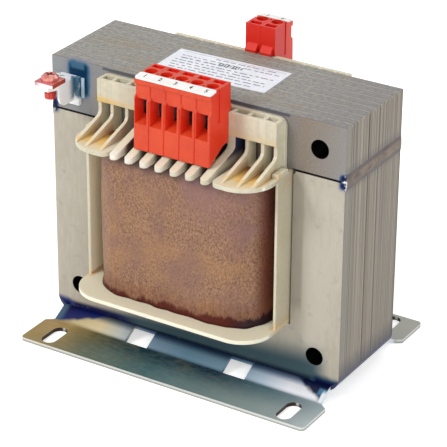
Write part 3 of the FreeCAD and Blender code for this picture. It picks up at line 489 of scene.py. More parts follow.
@dataclass(frozen=True)
class Groups:
    """The shader node groups that several finishes share."""

    mottle: bpy.types.NodeTree
    sheets: bpy.types.NodeTree
    tint: bpy.types.NodeTree

    @classmethod
    def build(cls) -> "Groups":
        """Builds each group once.

        Returns:
            The groups.
        """
        middle = grey(0.5)
        mottle = {"Vector": None, "Coarse": 100.0, "Fine": 900.0, "Dark": middle, "Light": middle}
        tint = {"Vector": None, "Heat": 0.0, "Steel": middle, "Haze": tone(134, 138, 150),
                "Blue": tone(52, 98, 130), "Navy": tone(0, 26, 66)}
        return cls(new_group("mottle", mottle, ("Colour", "Mask"), fill_mottle),
                   new_group("stacked_sheets", {"Depth": 0.0, "Sheet": 0.0005}, ("Shade", "Line"),
                             fill_sheets),
                   new_group("weld_tint", tint, ("Colour", "Mask"), fill_tint))


@dataclass(frozen=True)
class Finish:
    """A surface finish. All its lengths are in millimetres.

    Attributes:
        name: the material's name.
        roughness, metallic, coat, specular: the gloss that is the same all over.
        milk: how much light goes in below the surface.
        spread: how far red, green and blue go there, as shares of the depth.
        depth: how deep the light goes.
    """

    name: str
    roughness: float = 0.5
    metallic: float = 0.0
    coat: float = 0.0
    specular: float = 0.5
    milk: float = 0.0
    spread: Colour = (1.0, 1.0, 1.0)
    depth: float = 1.0

    def build(self, groups: Groups) -> bpy.types.Material:
        """Makes the material and paints it.

        Args:
            groups: the shared node groups.

        Returns:
            The finished material.
        """
        material = bpy.data.materials.new(self.name)
        material.use_nodes = True
        w = Wiring(material.node_tree)
        shader = material.node_tree.nodes["Principled BSDF"]
        plain = {"Roughness": self.roughness, "Metallic": self.metallic, "Coat Weight": self.coat,
                 "Specular IOR Level": self.specular}
        if self.milk:
            plain.update({"Subsurface Weight": self.milk, "Subsurface Radius": self.spread,
                          "Subsurface Scale": self.depth * MM})
        for name, value in plain.items():
            shader.inputs[name].default_value = value
        place = w.out(w.add("ShaderNodeTexCoord"), "Object")
        for name, source in self.paint(w, groups, place).items():
            w.feed(shader.inputs[name], source)
        return material

    def paint(self, w: Wiring, groups: Groups, place: Signal) -> dict[str, Signal]:
        """Adds what changes over the surface. Each finish fills this in.

        Args:
            w: the wiring of the material.
            groups: the shared node groups.
            place: the object coordinates.

        Returns:
            What feeds the shader, by the input's name.
        """
        raise NotImplementedError(self.name)


@dataclass(frozen=True)
class Laminations(Finish):
    """Bare steel sheets: smooth outer sheets front and back, and cut edges all round.

    Attributes:
        sheet: the thickness of a sheet.
        joint, floor: the heights of the joint between the stacks and of the core's underside.
        hole: how far each hole lies from the middle of the core, sideways and upwards.
        hole_level: the height of that middle.
    """

    name: str = "laminations"
    roughness: float = 0.42
    metallic: float = 0.2
    specular: float = 0.12
    sheet: float = 0.5
    joint: float = 85.0
    floor: float = 5.0
    hole: Vector = Vector((50, 40))
    hole_level: float = 55.0

    def paint(self, w: Wiring, groups: Groups, place: Signal) -> dict[str, Signal]:
        """Paints the faces and edges, with painted light in the grooves on top, then the heat
        tints, the joint, and painted shade in the holes.

        Args:
            w: the wiring.
            groups: the node groups.
            place: the coordinates.

        Returns:
            What feeds the shader, by the input's name.
        """
        x, y, z = w.axes(place)
        _, along, up = w.facing()
        flat = w.ramp(along, 0.5, 0.8)
        level = w.ramp(up, 0.5, 0.8)
        shade, line = w.use(groups.sheets, Depth=y, Sheet=self.sheet * MM)
        paint = Paint(w, self.edge(w, place, line * shade))
        paint.lay(level, self.top(w, place, line * shade))
        paint.lay(flat, self.face(w, groups, place))
        within = abs(y) < 19.8 * MM
        # Painted light: the grooves on top are lightened to lift the shade in them.
        groove_light = (z > 104 * MM) * w.maths("MAXIMUM", flat, level * (z < 104.97 * MM)) * within
        paint.lay(groove_light, (206, 203, 197))
        for centre, half, reach, haze, blue, navy in self.hot_places():
            heat = w.near_box(place, centre, half, reach * MM)
            paint.colour, _ = w.use(groups.tint, Vector=place, Heat=heat, Steel=paint.colour,
                                    Haze=haze, Blue=blue, Navy=navy)
        crown = w.inside(x, -51.2, -46.8, 1.3) * w.inside(z, 102.6, 103.8, 1.2)
        paint.lay(crown * flat * w.rise(y, 0, -1) * 0.8, (70, 112, 140))
        gap = w.band(z, self.joint, 0.36, 0.1)
        paint.lay(gap * flat * (abs(x) > 39.4 * MM), (4, 3, 5))
        # Painted shade: the walls of the holes through the core are painted nearly black.
        beside = abs(x) - self.hole.x * MM
        above = abs(z - self.hole_level * MM) - self.hole.y * MM
        away = w.maths("SQRT", beside * beside + above * above)
        paint.lay((away < 3.8 * MM) * within, (2, 2, 4))
        grain = w.noise(w.stretch(place, 0.12, 1.0, 0.02), 1100.0, 3.0, 0.6)
        height = grain * 0.3 - line * (1.0 - flat)
        return {"Base Color": paint.colour, "Roughness": grain * 0.2 + 0.36,
                "Normal": w.bump(height, 0.35, 0.05)}

    def face(self, w: Wiring, groups: Groups, place: Signal) -> Signal:
        """The smooth outer sheets: pale legs, a darker yoke and a blue foot, with painted shadow
        beside the bobbin's walls, behind the fingers, above the bobbin's plate and along the
        bottom edge.

        Args:
            w: the wiring.
            groups: the node groups.
            place: the coordinates.

        Returns:
            The colour.
        """
        x, _, z = w.axes(place)
        wide = abs(x)
        yoke = Paint(w, w.scale(x, -60, 60, (-60, (140, 144, 146)), (-30, (138, 136, 138)),
                                (36, (128, 124, 124)), (44, (132, 120, 108)),
                                (60, (140, 137, 134))))
        yoke.lay(w.patches(place, 70.0, 0.45, 0.7) * 0.5, (138, 122, 104))
        yoke.lay(w.patches(place, 1400.0, 0.4, 0.7, 3.0, 0.7) * 0.25, (168, 164, 158))
        face = w.mottled(groups, w.stretch(place, 1, 1, 0.25), 30.0, 500.0,
                         (176, 168, 153), (188, 181, 167))[0]
        face.lay(w.rise(z, self.joint - 0.1, self.joint + 0.1), yoke.colour)
        # Painted shadow of the bobbin's side walls on the legs.
        shaded = w.inside(wide, 39, 43.6, 1.4) * w.inside(z, 34, 85, 4)
        face.lay(shaded * 0.3, (112, 102, 92))
        # Painted shade: dark navy on the core's face behind the fingers, under the terminal block.
        slot = w.rise(wide, 27, 24) * w.inside(z, 82, 96, 1.5)
        face.lay(slot * 0.9, (26, 30, 62))
        # Painted shadow on the strip of core face above the top edge of the bobbin's plate.
        plate_top_shadow = w.rise(wide, 38.6, 37.8) * w.rise(z, 103.7, 104.2)
        face.lay(plate_top_shadow * 0.8, (72, 76, 88))

        reach = x * 0.15 + 10.5 * MM
        ease = w.maths("SUBTRACT", 1.0, (z - self.floor * MM) / reach, clamp=True)
        teal = w.blend(w.rise(x, -20, -46), (42, 78, 90), (14, 26, 84))
        face.lay(w.ramp(ease, 0.06, 0.7) * 0.92 * w.rise(x, 57, 49), teal)
        # Painted shadow line, dark navy, along the bottom where the core meets the foot.
        face.lay(w.ramp(ease, 0.84, 0.98) * 0.9, (4, 18, 48))
        face.lay(w.rise(z, 8.4, 6.2) * w.rise(x, -22, -34) * 0.9, (2, 6, 62))
        return face.colour

    def edge(self, w: Wiring, place: Signal, lines: Signal) -> Signal:
        """The cut edges at the sides, with a fine line for each sheet.

        Args:
            w: the wiring.
            place: the coordinates.
            lines: where lines between sheets show.

        Returns:
            The colour.
        """
        _, y, z = w.axes(place)
        fine = w.patches(w.stretch(place, 0.0, 1.0, 0.002), 2300.0, 0.36, 0.64, 3.0, 0.75)
        edge = Paint(w, w.blend(fine, (112, 108, 103), (172, 164, 149)))
        broad = w.patches(w.stretch(place, 0.0, 1.0, 0.006), 260.0, 0.45, 0.7, 2.0)
        edge.lay(broad * 0.35, (122, 98, 74))
        edge.lay(lines * 0.7, (78, 74, 74))
        edge.lay(w.rise(y, -11, -19) * 0.55, (140, 136, 130))
        for line, share in ((-3.9, 1.0), (-14.8, 0.45), (3.4, 0.5), (19.75, 0.9)):
            edge.lay(w.band(y, line, 0.2, 0.14) * share, (22, 22, 28))
        edge.lay(w.rise(z, 17, 6) * 0.75, (66, 70, 88))
        edge.lay(w.inside(z, 82, 88, 3) * 0.35, (92, 84, 92))
        return edge.colour

    def top(self, w: Wiring, place: Signal, lines: Signal) -> Signal:
        """The cut edges on top, finely mottled in grey, blue and brown.

        Args:
            w: the wiring.
            place: the coordinates.
            lines: where lines between sheets show.

        Returns:
            The colour.
        """
        x, y, _ = w.axes(place)
        drawn = w.stretch(place, 0.6, 1.0, 1.0)
        fine = w.patches(drawn, 1000.0, 0.38, 0.62, 4.0, 0.75)
        top = Paint(w, w.blend(fine, (126, 129, 133), (166, 160, 146)))
        top.lay(w.patches(drawn, 90.0, 0.45, 0.7) * 0.35, (150, 132, 104))
        top.lay(w.rise(x, 20, 60) * 0.4, (122, 116, 120))
        top.lay(lines * 0.3, (104, 102, 106))
        top.lay(w.rise(y, -19.2, -19.9) * 0.5, (86, 84, 92))
        return top.colour

    def hot_places(self) -> Iterable[tuple[Vector, Vector, float, Colour, Colour, Colour]]:
        """The middle, half size, reach and three colours of each place that a weld has tinted.

        Returns:
            Each place.
        """
        pale = (134, 138, 150)
        yield mm(-48.6, -20, 98.2), mm(2.6, 0.6, 4.6), 4.0, pale, (66, 106, 134), (0, 46, 78)
        for x, z in ((-60, 86), (60, 85)):
            yield mm(x, -20, z), mm(0.6, 0.6, 1.2), 3.0, pale, (40, 66, 110), (0, 12, 60)
            yield mm(x, 2, 5), mm(0.6, 18, 0.2), 3.4, (92, 96, 104), (52, 70, 88), (8, 24, 46)
        yield mm(-60, -20, 4.4), mm(4.0, 0.6, 0.6), 4.2, (70, 78, 120), (34, 50, 104), (0, 4, 70)
        yield mm(55.4, -20, 4.8), mm(3.4, 0.6, 0.3), 4.4, (50, 80, 92), (30, 58, 86), (0, 6, 52)


@dataclass(frozen=True)
class WeldBead(Finish):
    """A weld bead, dull and straw brown, with brighter ripples.

    Attributes:
        joint: the height of the joint that it fills.
        ripple: from one ripple to the next.
    """

    name: str = "weld_bead"
    roughness: float = 0.45
    metallic: float = 0.55
    joint: float = 84.55
    ripple: float = 0.9

    def paint(self, w: Wiring, groups: Groups, place: Signal) -> dict[str, Signal]:
        """Paints the beads, with dark or bright ends at the front and navy beads at the feet.

        Args:
            w: the wiring.
            groups: the node groups.
            place: the coordinates.

        Returns:
            What feeds the shader, by the input's name.
        """
        x, y, z = w.axes(place)
        bead, mask = w.mottled(groups, place, 160.0, 900.0, (96, 83, 72), (128, 112, 94))
        beside = w.rise(abs(z - self.joint * MM), 1.3, 1.9) * w.rise(z, 60, 61)
        bead.lay(beside * 0.8, (84, 78, 82))
        burnt = w.noise(w.stretch(place, 1, 0.6, 1), 240.0, 2.0)
        bead.lay(w.ramp(burnt, 0.5, 0.7) * 0.6, (74, 62, 66))
        glint = w.patches(place, 700.0, 0.5, 0.58, 2.0)
        left = x < 0.0
        end = Paint(w, w.blend(glint * (1.0 - left), (8, 16, 58), (226, 232, 238)))
        end.lay(left * w.rise(z, 84.8, 84), (164, 156, 142))
        bead.lay(w.rise(y, -18.8, -19.6) * w.rise(z, 80, 82), end.colour)
        bead.lay(w.rise(z, 20, 18) * 0.85, (34, 44, 88))
        wave = w.maths("SINE", (y + burnt * (1.2 * MM)) * (2 * math.pi / (self.ripple * MM)))
        return {"Base Color": bead.colour, "Normal": w.bump(wave * 0.3 + mask, 0.35, 0.08)}


@dataclass(frozen=True)
class ZincSheet(Finish):
    """Passivated zinc on the feet: yellow at one end, through teal, to pale blue at the other.

    Attributes:
        fold, rim: how far out the plate's fold and its rim lie.
    """

    name: str = "zinc_sheet"
    roughness: float = 0.36
    metallic: float = 0.25
    specular: float = 0.12
    fold: float = 27.0
    rim: float = 44.6

    def paint(self, w: Wiring, groups: Groups, place: Signal) -> dict[str, Signal]:
        """Paints the flat plate, the sloping web, the cut edges and the slots, with a painted
        highlight at the web's right end and painted light over painted shade on the cut edges.

        Args:
            w: the wiring.
            groups: the node groups.
            place: the coordinates.

        Returns:
            What feeds the shader, by the input's name.
        """
        x, y, z = w.axes(place)
        out = abs(y)
        across, _, up = w.facing()
        along = x + (w.noise(place, 45.0, 3.0) - 0.5) * (16 * MM)
        rim = w.scale(along, -70, 70, (-66, (164, 136, 84)), (-50, (148, 126, 74)),
                      (-36, (106, 114, 94)), (-8, (76, 118, 126)), (28, (138, 158, 158)),
                      (50, (168, 182, 184)), (66, (196, 206, 210)))
        fold = w.scale(along, -70, 70, (-66, (146, 112, 62)), (-50, (182, 152, 92)),
                       (-38, (98, 90, 48)), (-22, (6, 54, 64)), (14, (0, 42, 68)),
                       (36, (84, 118, 128)), (50, (140, 158, 166)), (66, (176, 190, 196)))
        zinc = Paint(w, w.blend(w.rise(out, self.fold, self.rim - 3), fold, rim))
        speck = w.patches(w.stretch(place, 0.4, 1, 1), 900.0, 0.35, 0.7, 4.0, 0.7)
        zinc.lay(speck * 0.16, (170, 178, 170))
        zinc.lay(w.patches(place, 120.0, 0.5, 0.72) * w.rise(x, 30, -40) * 0.45, (150, 128, 80))
        zinc.lay((y > 0.0) * 0.7, (172, 166, 154))
        slope = w.rise(out, self.fold + 0.6, self.fold - 0.6) * w.rise(out, 18, 19)
        zinc.lay(slope, self.web(w, place))
        # Painted highlight: white on the sideways faces at the right end of the web.
        zinc.lay(slope * w.ramp(across, 0.6, 0.9) * w.rise(x, 50, 52), (226, 234, 240))
        # The cut edges: a painted highlight on their upper part, painted shade on their lower
        # part.
        side = (1.0 - w.ramp(up, 0.2, 0.6)) * w.rise(out, self.fold, self.fold + 1)
        zinc.lay(side * 0.85, w.blend(w.rise(z, 0.6, 0.9), (168, 168, 162), (222, 222, 216)))
        slot = side * w.inside(abs(x), 41, 59, 0.1) * w.inside(out, 31, 43, 0.2)
        zinc.lay(slot, (58, 46, 40))
        grain = w.noise(w.stretch(place, 0.15, 1, 1), 1200.0, 3.0)
        return {"Base Color": zinc.colour, "Roughness": grain * 0.2 + 0.3,
                "Normal": w.bump(grain, 0.1, 0.05)}

    def web(self, w: Wiring, place: Signal) -> Signal:
        """The sloping web: pale at its ends, blue in the middle, with ragged navy wedges. The pale
        and white zones at its ends are partly painted sheen, and a band across it paints light in
        its middle and shadow where it meets the core.

        Args:
            w: the wiring.
            place: the coordinates.

        Returns:
            The colour.
        """
        x, _, z = w.axes(place)
        # The pale and white stops at the ends are partly painted sheen.
        web = Paint(w, w.scale(x, -62, 62, (-60, (176, 158, 112)), (-50, (190, 172, 130)),
                               (-38, (214, 196, 156)), (-29, (190, 194, 190)),
                               (-18, (128, 152, 176)), (0.0, (104, 138, 160)),
                               (20, (122, 152, 174)), (32, (186, 204, 224)),
                               (43, (244, 246, 255)), (60, (236, 240, 246))))
        # Painted light and shade across the web: a bright middle, and painted shadow with a navy
        # tint at the top where it meets the core.
        strip = w.scale(z, 1, 5.5, (1.2, (160, 168, 172)), (2.2, (255, 255, 255)),
                        (3.6, (245, 245, 245)), (4.5, (130, 146, 166)), (5.2, (34, 46, 84)))
        web.lay(1.0, strip, "MULTIPLY")
        ragged = (w.noise(place, 170.0, 2.0) - 0.5) * (1.8 * MM)
        from_left = (x + 57 * MM) * 0.22 + 0.8 * MM
        from_right = (54 * MM - x) * 0.27 + 2.5 * MM
        burnt = z + ragged - w.maths("MINIMUM", from_left, from_right)
        navy = Paint(w, w.scale(burnt, 0, 4, (0, (2, 30, 92)), (1.6, (0, 12, 84)),
                                (3.6, (0, 0, 40))))
        navy.lay(w.rise(x, -10, 10), (0, 8, 54))
        web.lay(w.rise(burnt, -0.5, 0.5) * 0.97, navy.colour)
        web.lay(w.rise(x, -53.4, -55.8) * 0.6, (84, 116, 134))
        blob = w.inside(x, 54.2, 60, 0.7) * w.inside(z, 3.3, 4.0, 0.6)
        web.lay(blob * 0.8, (84, 136, 172))
        # Painted sheen: white on the lower part of the web's right end.
        web.lay(w.rise(x, 55.2, 56.0) * w.rise(z, 4.4, 3.2), (236, 242, 248))
        return web.colour


@dataclass(frozen=True)
class Reading:
    """Where a point of the surface lies, and which way it faces.

    Attributes:
        x, z: its coordinates.
        wide, deep: its distances from the middle along X and Y.
        across, up: 1 where it faces sideways, and where it faces up or down.
        steep: 1 where it faces anywhere else than up or down.
    """

    x: Signal
    z: Signal
    wide: Signal
    deep: Signal
    across: Signal
    up: Signal
    steep: Signal

    @classmethod
    def take(cls, w: Wiring, place: Signal) -> "Reading":
        """Reads the place.

        Args:
            w: the wiring.
            place: the coordinates.

        Returns:
            The reading.
        """
        x, y, z = w.axes(place)
        across, _, up = w.facing()
        return cls(x, z, abs(x), abs(y), w.ramp(across, 0.6, 0.9), w.ramp(up, 0.6, 0.8),
                   w.ramp(up, 0.6, 0.2))


@dataclass(frozen=True)
class IvoryNylon(Finish):
    """The bobbin's ivory nylon, with amber varnish in its corners and channels."""

    name: str = "ivory_nylon"
    roughness: float = 0.45
    coat: float = 0.02
    specular: float = 0.35
    milk: float = 0.5
    spread: Colour = (1.0, 0.85, 0.6)
    depth: float = 1.2

    def paint(self, w: Wiring, groups: Groups, place: Signal) -> dict[str, Signal]:
        """Paints the nylon, its varnish, its shaded fingers and its walls.

        Args:
            w: the wiring.
            groups: the node groups.
            place: the coordinates.

        Returns:
            What feeds the shader, by the input's name.
        """
        at = Reading.take(w, place)
        nylon, mask = w.mottled(groups, place, 60.0, 500.0, (204, 198, 174), (218, 212, 190))
        streak = w.patches(w.stretch(place, 1, 1, 0.06), 420.0, 0.45, 0.7)
        beam = w.inside(at.z, 95.2, 103.6, 0.2) * w.rise(at.deep, 25.4, 25.9)
        nylon.lay(streak * beam * 0.3, (176, 172, 156))
        wet = self.varnish(w, place, at, nylon)
        self.fingers(w, at, nylon)
        self.walls(w, place, at, nylon)
        fingers = w.rise(at.wide, 22, 21) * w.rise(at.deep, 27, 28) * w.rise(at.z, 80, 82)
        edges = w.rounded(fingers * (0.75 * MM) + 0.35 * MM, 6)
        return {"Base Color": nylon.colour, "Roughness": 0.4 - wet * 0.2,
                "Normal": w.bump(mask, 0.06, 0.1, edges)}

    def varnish(self, w: Wiring, place: Signal, at: Reading, nylon: Paint) -> Signal:
        """Lays amber and brown varnish in the channels of the scoops, with painted shade deepening
        the brown at the back, lays painted light on the up-facing faces below 90 mm, and says
        where it is wet.

        Args:
            w: the wiring.
            place: the coordinates.
            at: the reading of the place.
            nylon: the paint.

        Returns:
            1 where it is wet.
        """
        wobble = (w.noise(place, 190.0, 3.0) - 0.5) * (5 * MM)
        climb = (at.z - 86 * MM) * 2.4
        back = at.deep + wobble + w.maths("MAXIMUM", climb, 0.0)
        channel = (w.inside(at.z, 84.4, 91, 0.2) * w.rise(at.wide, 23.4, 24.4)
                   * w.rise(at.wide, 38, 36.8) * w.rise(at.deep, 25.0, 26))
        floor = at.up * w.rise(at.z, 86.4, 85.6)
        flank = at.across * w.rise(at.z, 89.5, 85.5)
        channel = channel * w.maths("MAXIMUM", floor, flank * 0.4)
        # Brown at the back of the channels: thick varnish, deepened as painted shade of the
        # recess.
        brown = channel * w.rise(back, 36, 27)
        amber = channel * w.rise(back, 45, 33) * w.blend(at.up, grey(0.6), grey(1.0))
        # Painted light on the up-facing faces below 90 mm.
        nylon.lay(at.up * w.rise(at.z, 90, 89) * 0.75, (236, 230, 204))
        nylon.lay(amber * 0.92, (242, 198, 100))
        nylon.lay(brown * 0.85, (134, 66, 24))
        return w.maths("MAXIMUM", amber, brown)

    def fingers(self, w: Wiring, at: Reading, nylon: Paint) -> None:
        """Shades the flanks of the fingers and lights their tips and the rim of the flange.

        Args:
            w: the wiring.
            at: the reading of the place.
            nylon: the paint.
        """
        shade = (w.inside(at.x, 19.9, 20.1, 0.1) * at.across * w.rise(at.deep, 33, 29.5)
                 * w.rise(at.z, 86, 89))
        nylon.lay(shade * 0.94, (26, 38, 88))
        between = (w.rise(at.wide, 21, 20.6) * at.across * w.rise(at.z, 92, 88)
                   * w.rise(at.deep, 39.5, 35.5))
        last = w.rise(at.x, 19, 19.4)
        nylon.lay(between * w.blend(last, grey(0.85), grey(0.3)), (46, 34, 34))
        tips = (w.rise(at.wide, 21, 20.6) * w.rise(at.deep, 39, 42) * w.rise(at.z, 87, 85)
                * w.rise(at.z, 70, 72))
        nylon.lay(tips * w.rise(at.x, 24, -24) * 0.8, (244, 240, 228))
        nylon.lay(at.steep * w.rise(at.z, 27.2, 26.95) * 0.8, (252, 246, 226))

    def walls(self, w: Wiring, place: Signal, at: Reading, nylon: Paint) -> None:
        """Stains the corners and the sill, paints light on the inner side of the walls, and paints
        shade on the outer side of the right wall.

        Args:
            w: the wiring.
            place: the coordinates.
            at: the reading of the place.
            nylon: the paint.
        """
        low = w.rise(at.z, 31, 27) * w.rise(at.wide, 36, 38.2)
        nylon.lay(low * w.rise(at.deep, 31.5, 29) * 0.5, (222, 176, 96))
        high = w.inside(at.z, 80, 87, 2) * w.rise(at.wide, 37.6, 38.6)
        nylon.lay(high * w.patches(place, 260.0, 0.45, 0.65) * 0.5, (216, 176, 108))
        sill = w.band(at.z, 95.0, 0.5, 2.2) * w.rise(at.deep, 25.2, 25.9)
        left = w.blend(w.rise(at.x, -20, -38), grey(0.25), grey(0.9))
        nylon.lay(sill * left, (222, 184, 96))
        # Painted light on the inner side of the walls.
        inside = (w.rise(at.wide, 38.6, 38.5) * w.rise(at.wide, 37.9, 38.1) * at.across
                  * w.inside(at.z, 28, 84, 1))
        nylon.lay(inside * 0.9, (255, 250, 232))
        # Painted shade on the outer side of the right wall.
        outer = w.rise(at.wide, 38.2, 38.5) * w.rise(at.z, 85, 84) * w.rise(at.x, 39.2, 39.38)
        nylon.lay(outer * 0.5, (176, 164, 140))


@dataclass(frozen=True)
class FleeceWrap(Finish):
    """The coil's wrap of brown fleece, finely mottled, with a dark ragged hem.

    Attributes:
        low, high: the heights of its hem and its top.
    """

    name: str = "fleece_wrap"
    roughness: float = 0.6
    specular: float = 0.2
    low: float = 26.9
    high: float = 83.2

    def paint(self, w: Wiring, groups: Groups, place: Signal) -> dict[str, Signal]:
        """Paints the fibres, their broad patches, the shaded top and the ragged hem.

        Args:
            w: the wiring.
            groups: the node groups.
            place: the coordinates.

        Returns:
            What feeds the shader, by the input's name.
        """
        x, _, z = w.axes(place)
        fleece, mask = w.mottled(groups, w.stretch(place, 1, 1, 0.7), 1500.0, 3200.0,
                                 (112, 82, 68), (172, 131, 101))
        broad = w.noise(w.stretch(place, 1, 1, 1.4), 60.0, 3.0)
        fleece.lay(w.ramp(broad, 0.42, 0.66) * 0.4, (170, 128, 86))
        cool = w.patches(w.stretch(place, 1, 1, 0.8), 85.0, 0.44, 0.66)
        fleece.lay(cool * 0.5, (128, 96, 90))
        fleece.lay(w.rise(z, self.high - 9, self.high - 1) * 0.55, (122, 94, 96))
        gaps = w.rise(z, 77.5, 81.5) * w.rise(abs(x), 24, 19)
        fleece.lay(gaps * 0.9, (40, 24, 26))
        fleece.lay(w.rise(x, 31, 34.4) * 0.85, (88, 30, 16))
        threads = w.noise(w.stretch(place, 1, 1, 0.12), 900.0, 3.0)
        torn = w.noise(w.stretch(place, 1, 1, 0.3), 150.0, 4.0, 0.6) - 0.5
        fray = torn + (threads - 0.5) * 0.5
        height = z + fray * (7 * MM) - w.rise(x, -20, 26) * (2 * MM)
        fleece.lay(w.rise(height, self.low + 9, self.low + 2) * 0.45, (120, 74, 50))
        pulled = w.ramp(threads, 0.52, 0.64) * w.rise(z, self.low + 14, self.low + 3)
        fleece.lay(pulled * 0.4, (84, 46, 30))
        violet = w.inside(x, 8, 30, 6) * w.inside(z, 64, 80, 8)
        fleece.lay(violet * w.ramp(broad, 0.35, 0.6) * 0.55, (134, 100, 104))
        hem = w.rise(height, self.low + 2.3, self.low + 0.3)
        fleece.lay(hem * 0.96, w.blend(w.rise(x, 22, 31), (74, 14, 2), (24, 0, 18)))
        return {"Base Color": fleece.colour, "Roughness": 0.62 - mask * 0.16,
                "Normal": w.bump(mask, 0.3, 0.1)}


@dataclass(frozen=True)
class TerminalNylon(Finish):
    """Orange-red nylon of the terminal poles, with a painted deeper red glow in its occluded
    recesses and a painted tone on its sideways faces.
    """

    name: str = "terminal_nylon"
    roughness: float = 0.38
    coat: float = 0.04
    specular: float = 0.35
    milk: float = 0.1
    spread: Colour = (1.0, 0.25, 0.15)
    depth: float = 0.8

    def paint(self, w: Wiring, groups: Groups, place: Signal) -> dict[str, Signal]:
        """Paints the nylon, a painted glow in its recesses, painted light and shade on its sides,
        and the back of the poles.

        Args:
            w: the wiring.
            groups: the node groups.
            place: the coordinates.

        Returns:
            What feeds the shader, by the input's name.
        """
        _, y, _ = w.axes(place)
        across, _, _ = w.facing()
        nylon, mask = w.mottled(groups, place, 90.0, 1300.0, (206, 60, 28), (217, 74, 38))
        # Painted glow: a deeper red where the recesses are occluded, standing in for light through
        # the nylon.
        cover = w.add("ShaderNodeAmbientOcclusion", samples=8, only_local=True)
        w.feed(cover.inputs["Distance"], 5 * MM)
        nylon.lay(w.ramp(w.out(cover, "AO"), 0.62, 0.34) * 0.92, (242, 22, 16))
        # Painted light and shade: the sideways faces get their own redder tone for how light falls
        # on them.
        nylon.lay(w.ramp(across, 0.6, 0.9) * 0.75, (238, 52, 24))
        behind = w.rise(y, 20, 24) * w.rise(y, 36, 30)
        nylon.lay(behind * 0.8, (216, 22, 14))
        edges = w.rounded(0.22 * MM, 4)
        return {"Base Color": nylon.colour, "Normal": w.bump(mask, 0.05, 0.08, edges)}


@dataclass(frozen=True)
class PlatedSteel(Finish):
    """Bright plated fittings, tinted from one screen colour to another."""

    name: str = "plated_steel"
    roughness: float = 0.2
    metallic: float = 0.35
    dark: Colour = (222, 226, 230)
    light: Colour = (246, 248, 248)
    blue: bool = False

    def paint(self, w: Wiring, groups: Groups, place: Signal) -> dict[str, Signal]:
        """Paints the plating, and blues it where that is asked for.

        Args:
            w: the wiring.
            groups: the node groups.
            place: the coordinates.

        Returns:
            What feeds the shader, by the input's name.
        """
        steel, mask = w.mottled(groups, place, 170.0, 1400.0, self.dark, self.light)
        if self.blue:
            self.heat(w, place, steel)
        return {"Base Color": steel.colour, "Roughness": mask * 0.1 + self.roughness,
                "Normal": w.bump(mask, 0.1, 0.06)}

    def heat(self, w: Wiring, place: Signal, steel: Paint) -> None:
        """Blues the earth bracket's web, darkened as painted shade of its hollow, and its rim, and
        gives its flange a pale blue with a painted shade line where it meets the bracket.

        Args:
            w: the wiring.
            place: the coordinates.
            steel: the paint.
        """
        x, y, z = w.axes(place)
        _, _, up = w.facing()
        level = w.ramp(up, 0.5, 0.8)
        patch = w.noise(w.stretch(place, 1, 1, 0.5), 300.0, 3.0)
        # Teal patches on the web: a blue tint, darkened as painted shade of the hollow.
        web = w.rise(y, -26, -22) * w.ramp(up, 0.6, 0.3) * w.rise(z, 90.5, 92.5)
        steel.lay(web * w.ramp(patch, 0.3, 0.5) * 0.95, (24, 92, 122))
        steel.lay(level * w.ramp(patch, 0.5, 0.6) * 0.9, (56, 116, 146))
        steel.lay(level * w.rise(x, -48.5, -48) * 0.8, (120, 160, 184))
        flange = x > -47.65 * MM
        steel.lay(flange, (168, 194, 214))
        # Painted shade line where the flange meets the bracket.
        steel.lay(flange * w.inside(x, -47.7, -47.3, 0.05), (20, 40, 66))


@dataclass(frozen=True)
class CopperySteel(Finish):
    """The earth screw and saddle: pink on top, orange on the right, red under the clamp.

    Attributes:
        left, front: how far left of the core's middle, and in front of it, the screw stands.
    """

    name: str = "coppery_steel"
    roughness: float = 0.22
    metallic: float = 0.4
    left: float = 53.1
    front: float = 31.1

    def paint(self, w: Wiring, groups: Groups, place: Signal) -> dict[str, Signal]:
        """Paints the saddle's rim, the screw's head with a painted shadow ring around its base,
        its shank, and painted shade in its recess.

        Args:
            w: the wiring.
            groups: the node groups.
            place: the coordinates.

        Returns:
            What feeds the shader, by the input's name.
        """
        x, y, z = w.axes(place)
        across, along, up = w.facing()
        copper, mask = w.mottled(groups, place, 420.0, 1400.0, (184, 74, 64), (236, 168, 156))
        rim = (1.0 - w.ramp(up, 0.3, 0.6)) * w.inside(z, 99.3, 100.7, 0.1)
        copper.lay(rim * across * 0.9, (200, 74, 44))
        pale = w.blend(w.rise(z, 100.3, 100.7), (240, 238, 240), (196, 86, 104))
        copper.lay(rim * along * 0.9, pale)
        # Painted shadow ring around the base of the screw's head.
        foot = w.inside(z, 100.7, 101.2, 0.2) * w.ramp(up, 0.9, 0.6)
        copper.lay(foot * 0.6, (170, 52, 84))
        end = w.rise(x, -54.6, -56.4) * w.inside(z, 99.3, 100.9, 0.1)
        copper.lay(end * 0.6, (176, 78, 108))
        copper.lay(w.rise(z, 99.2, 98.8) * 0.85, (196, 44, 38))
        # Painted shade on the walls of the cross recess in the head.
        recess = w.rise(z, 102.85, 102.5) * w.rise(z, 101.5, 101.7) * w.ramp(up, 0.7, 0.2)
        beside = w.rise(abs(x + self.left * MM), 1.9, 1.7)
        behind = w.rise(abs(y + self.front * MM), 1.9, 1.7)
        copper.lay(recess * (beside * behind) * 0.9, (96, 14, 10))
        return {"Base Color": copper.colour, "Normal": w.bump(mask, 0.08, 0.05)}


@dataclass(frozen=True)
class PlainSkin(Finish):
    """A thin, nearly even skin, such as enamel, sleeving, card or film."""

    name: str = "plain_skin"
    dark: Colour = (200, 200, 200)
    light: Colour = (220, 220, 220)
    fine: float = 900.0

    def paint(self, w: Wiring, groups: Groups, place: Signal) -> dict[str, Signal]:
        """Paints the skin."""
        skin, mask = w.mottled(groups, place, self.fine / 8, self.fine, self.dark, self.light)
        return {"Base Color": skin.colour, "Normal": w.bump(mask, 0.06, 0.05)}


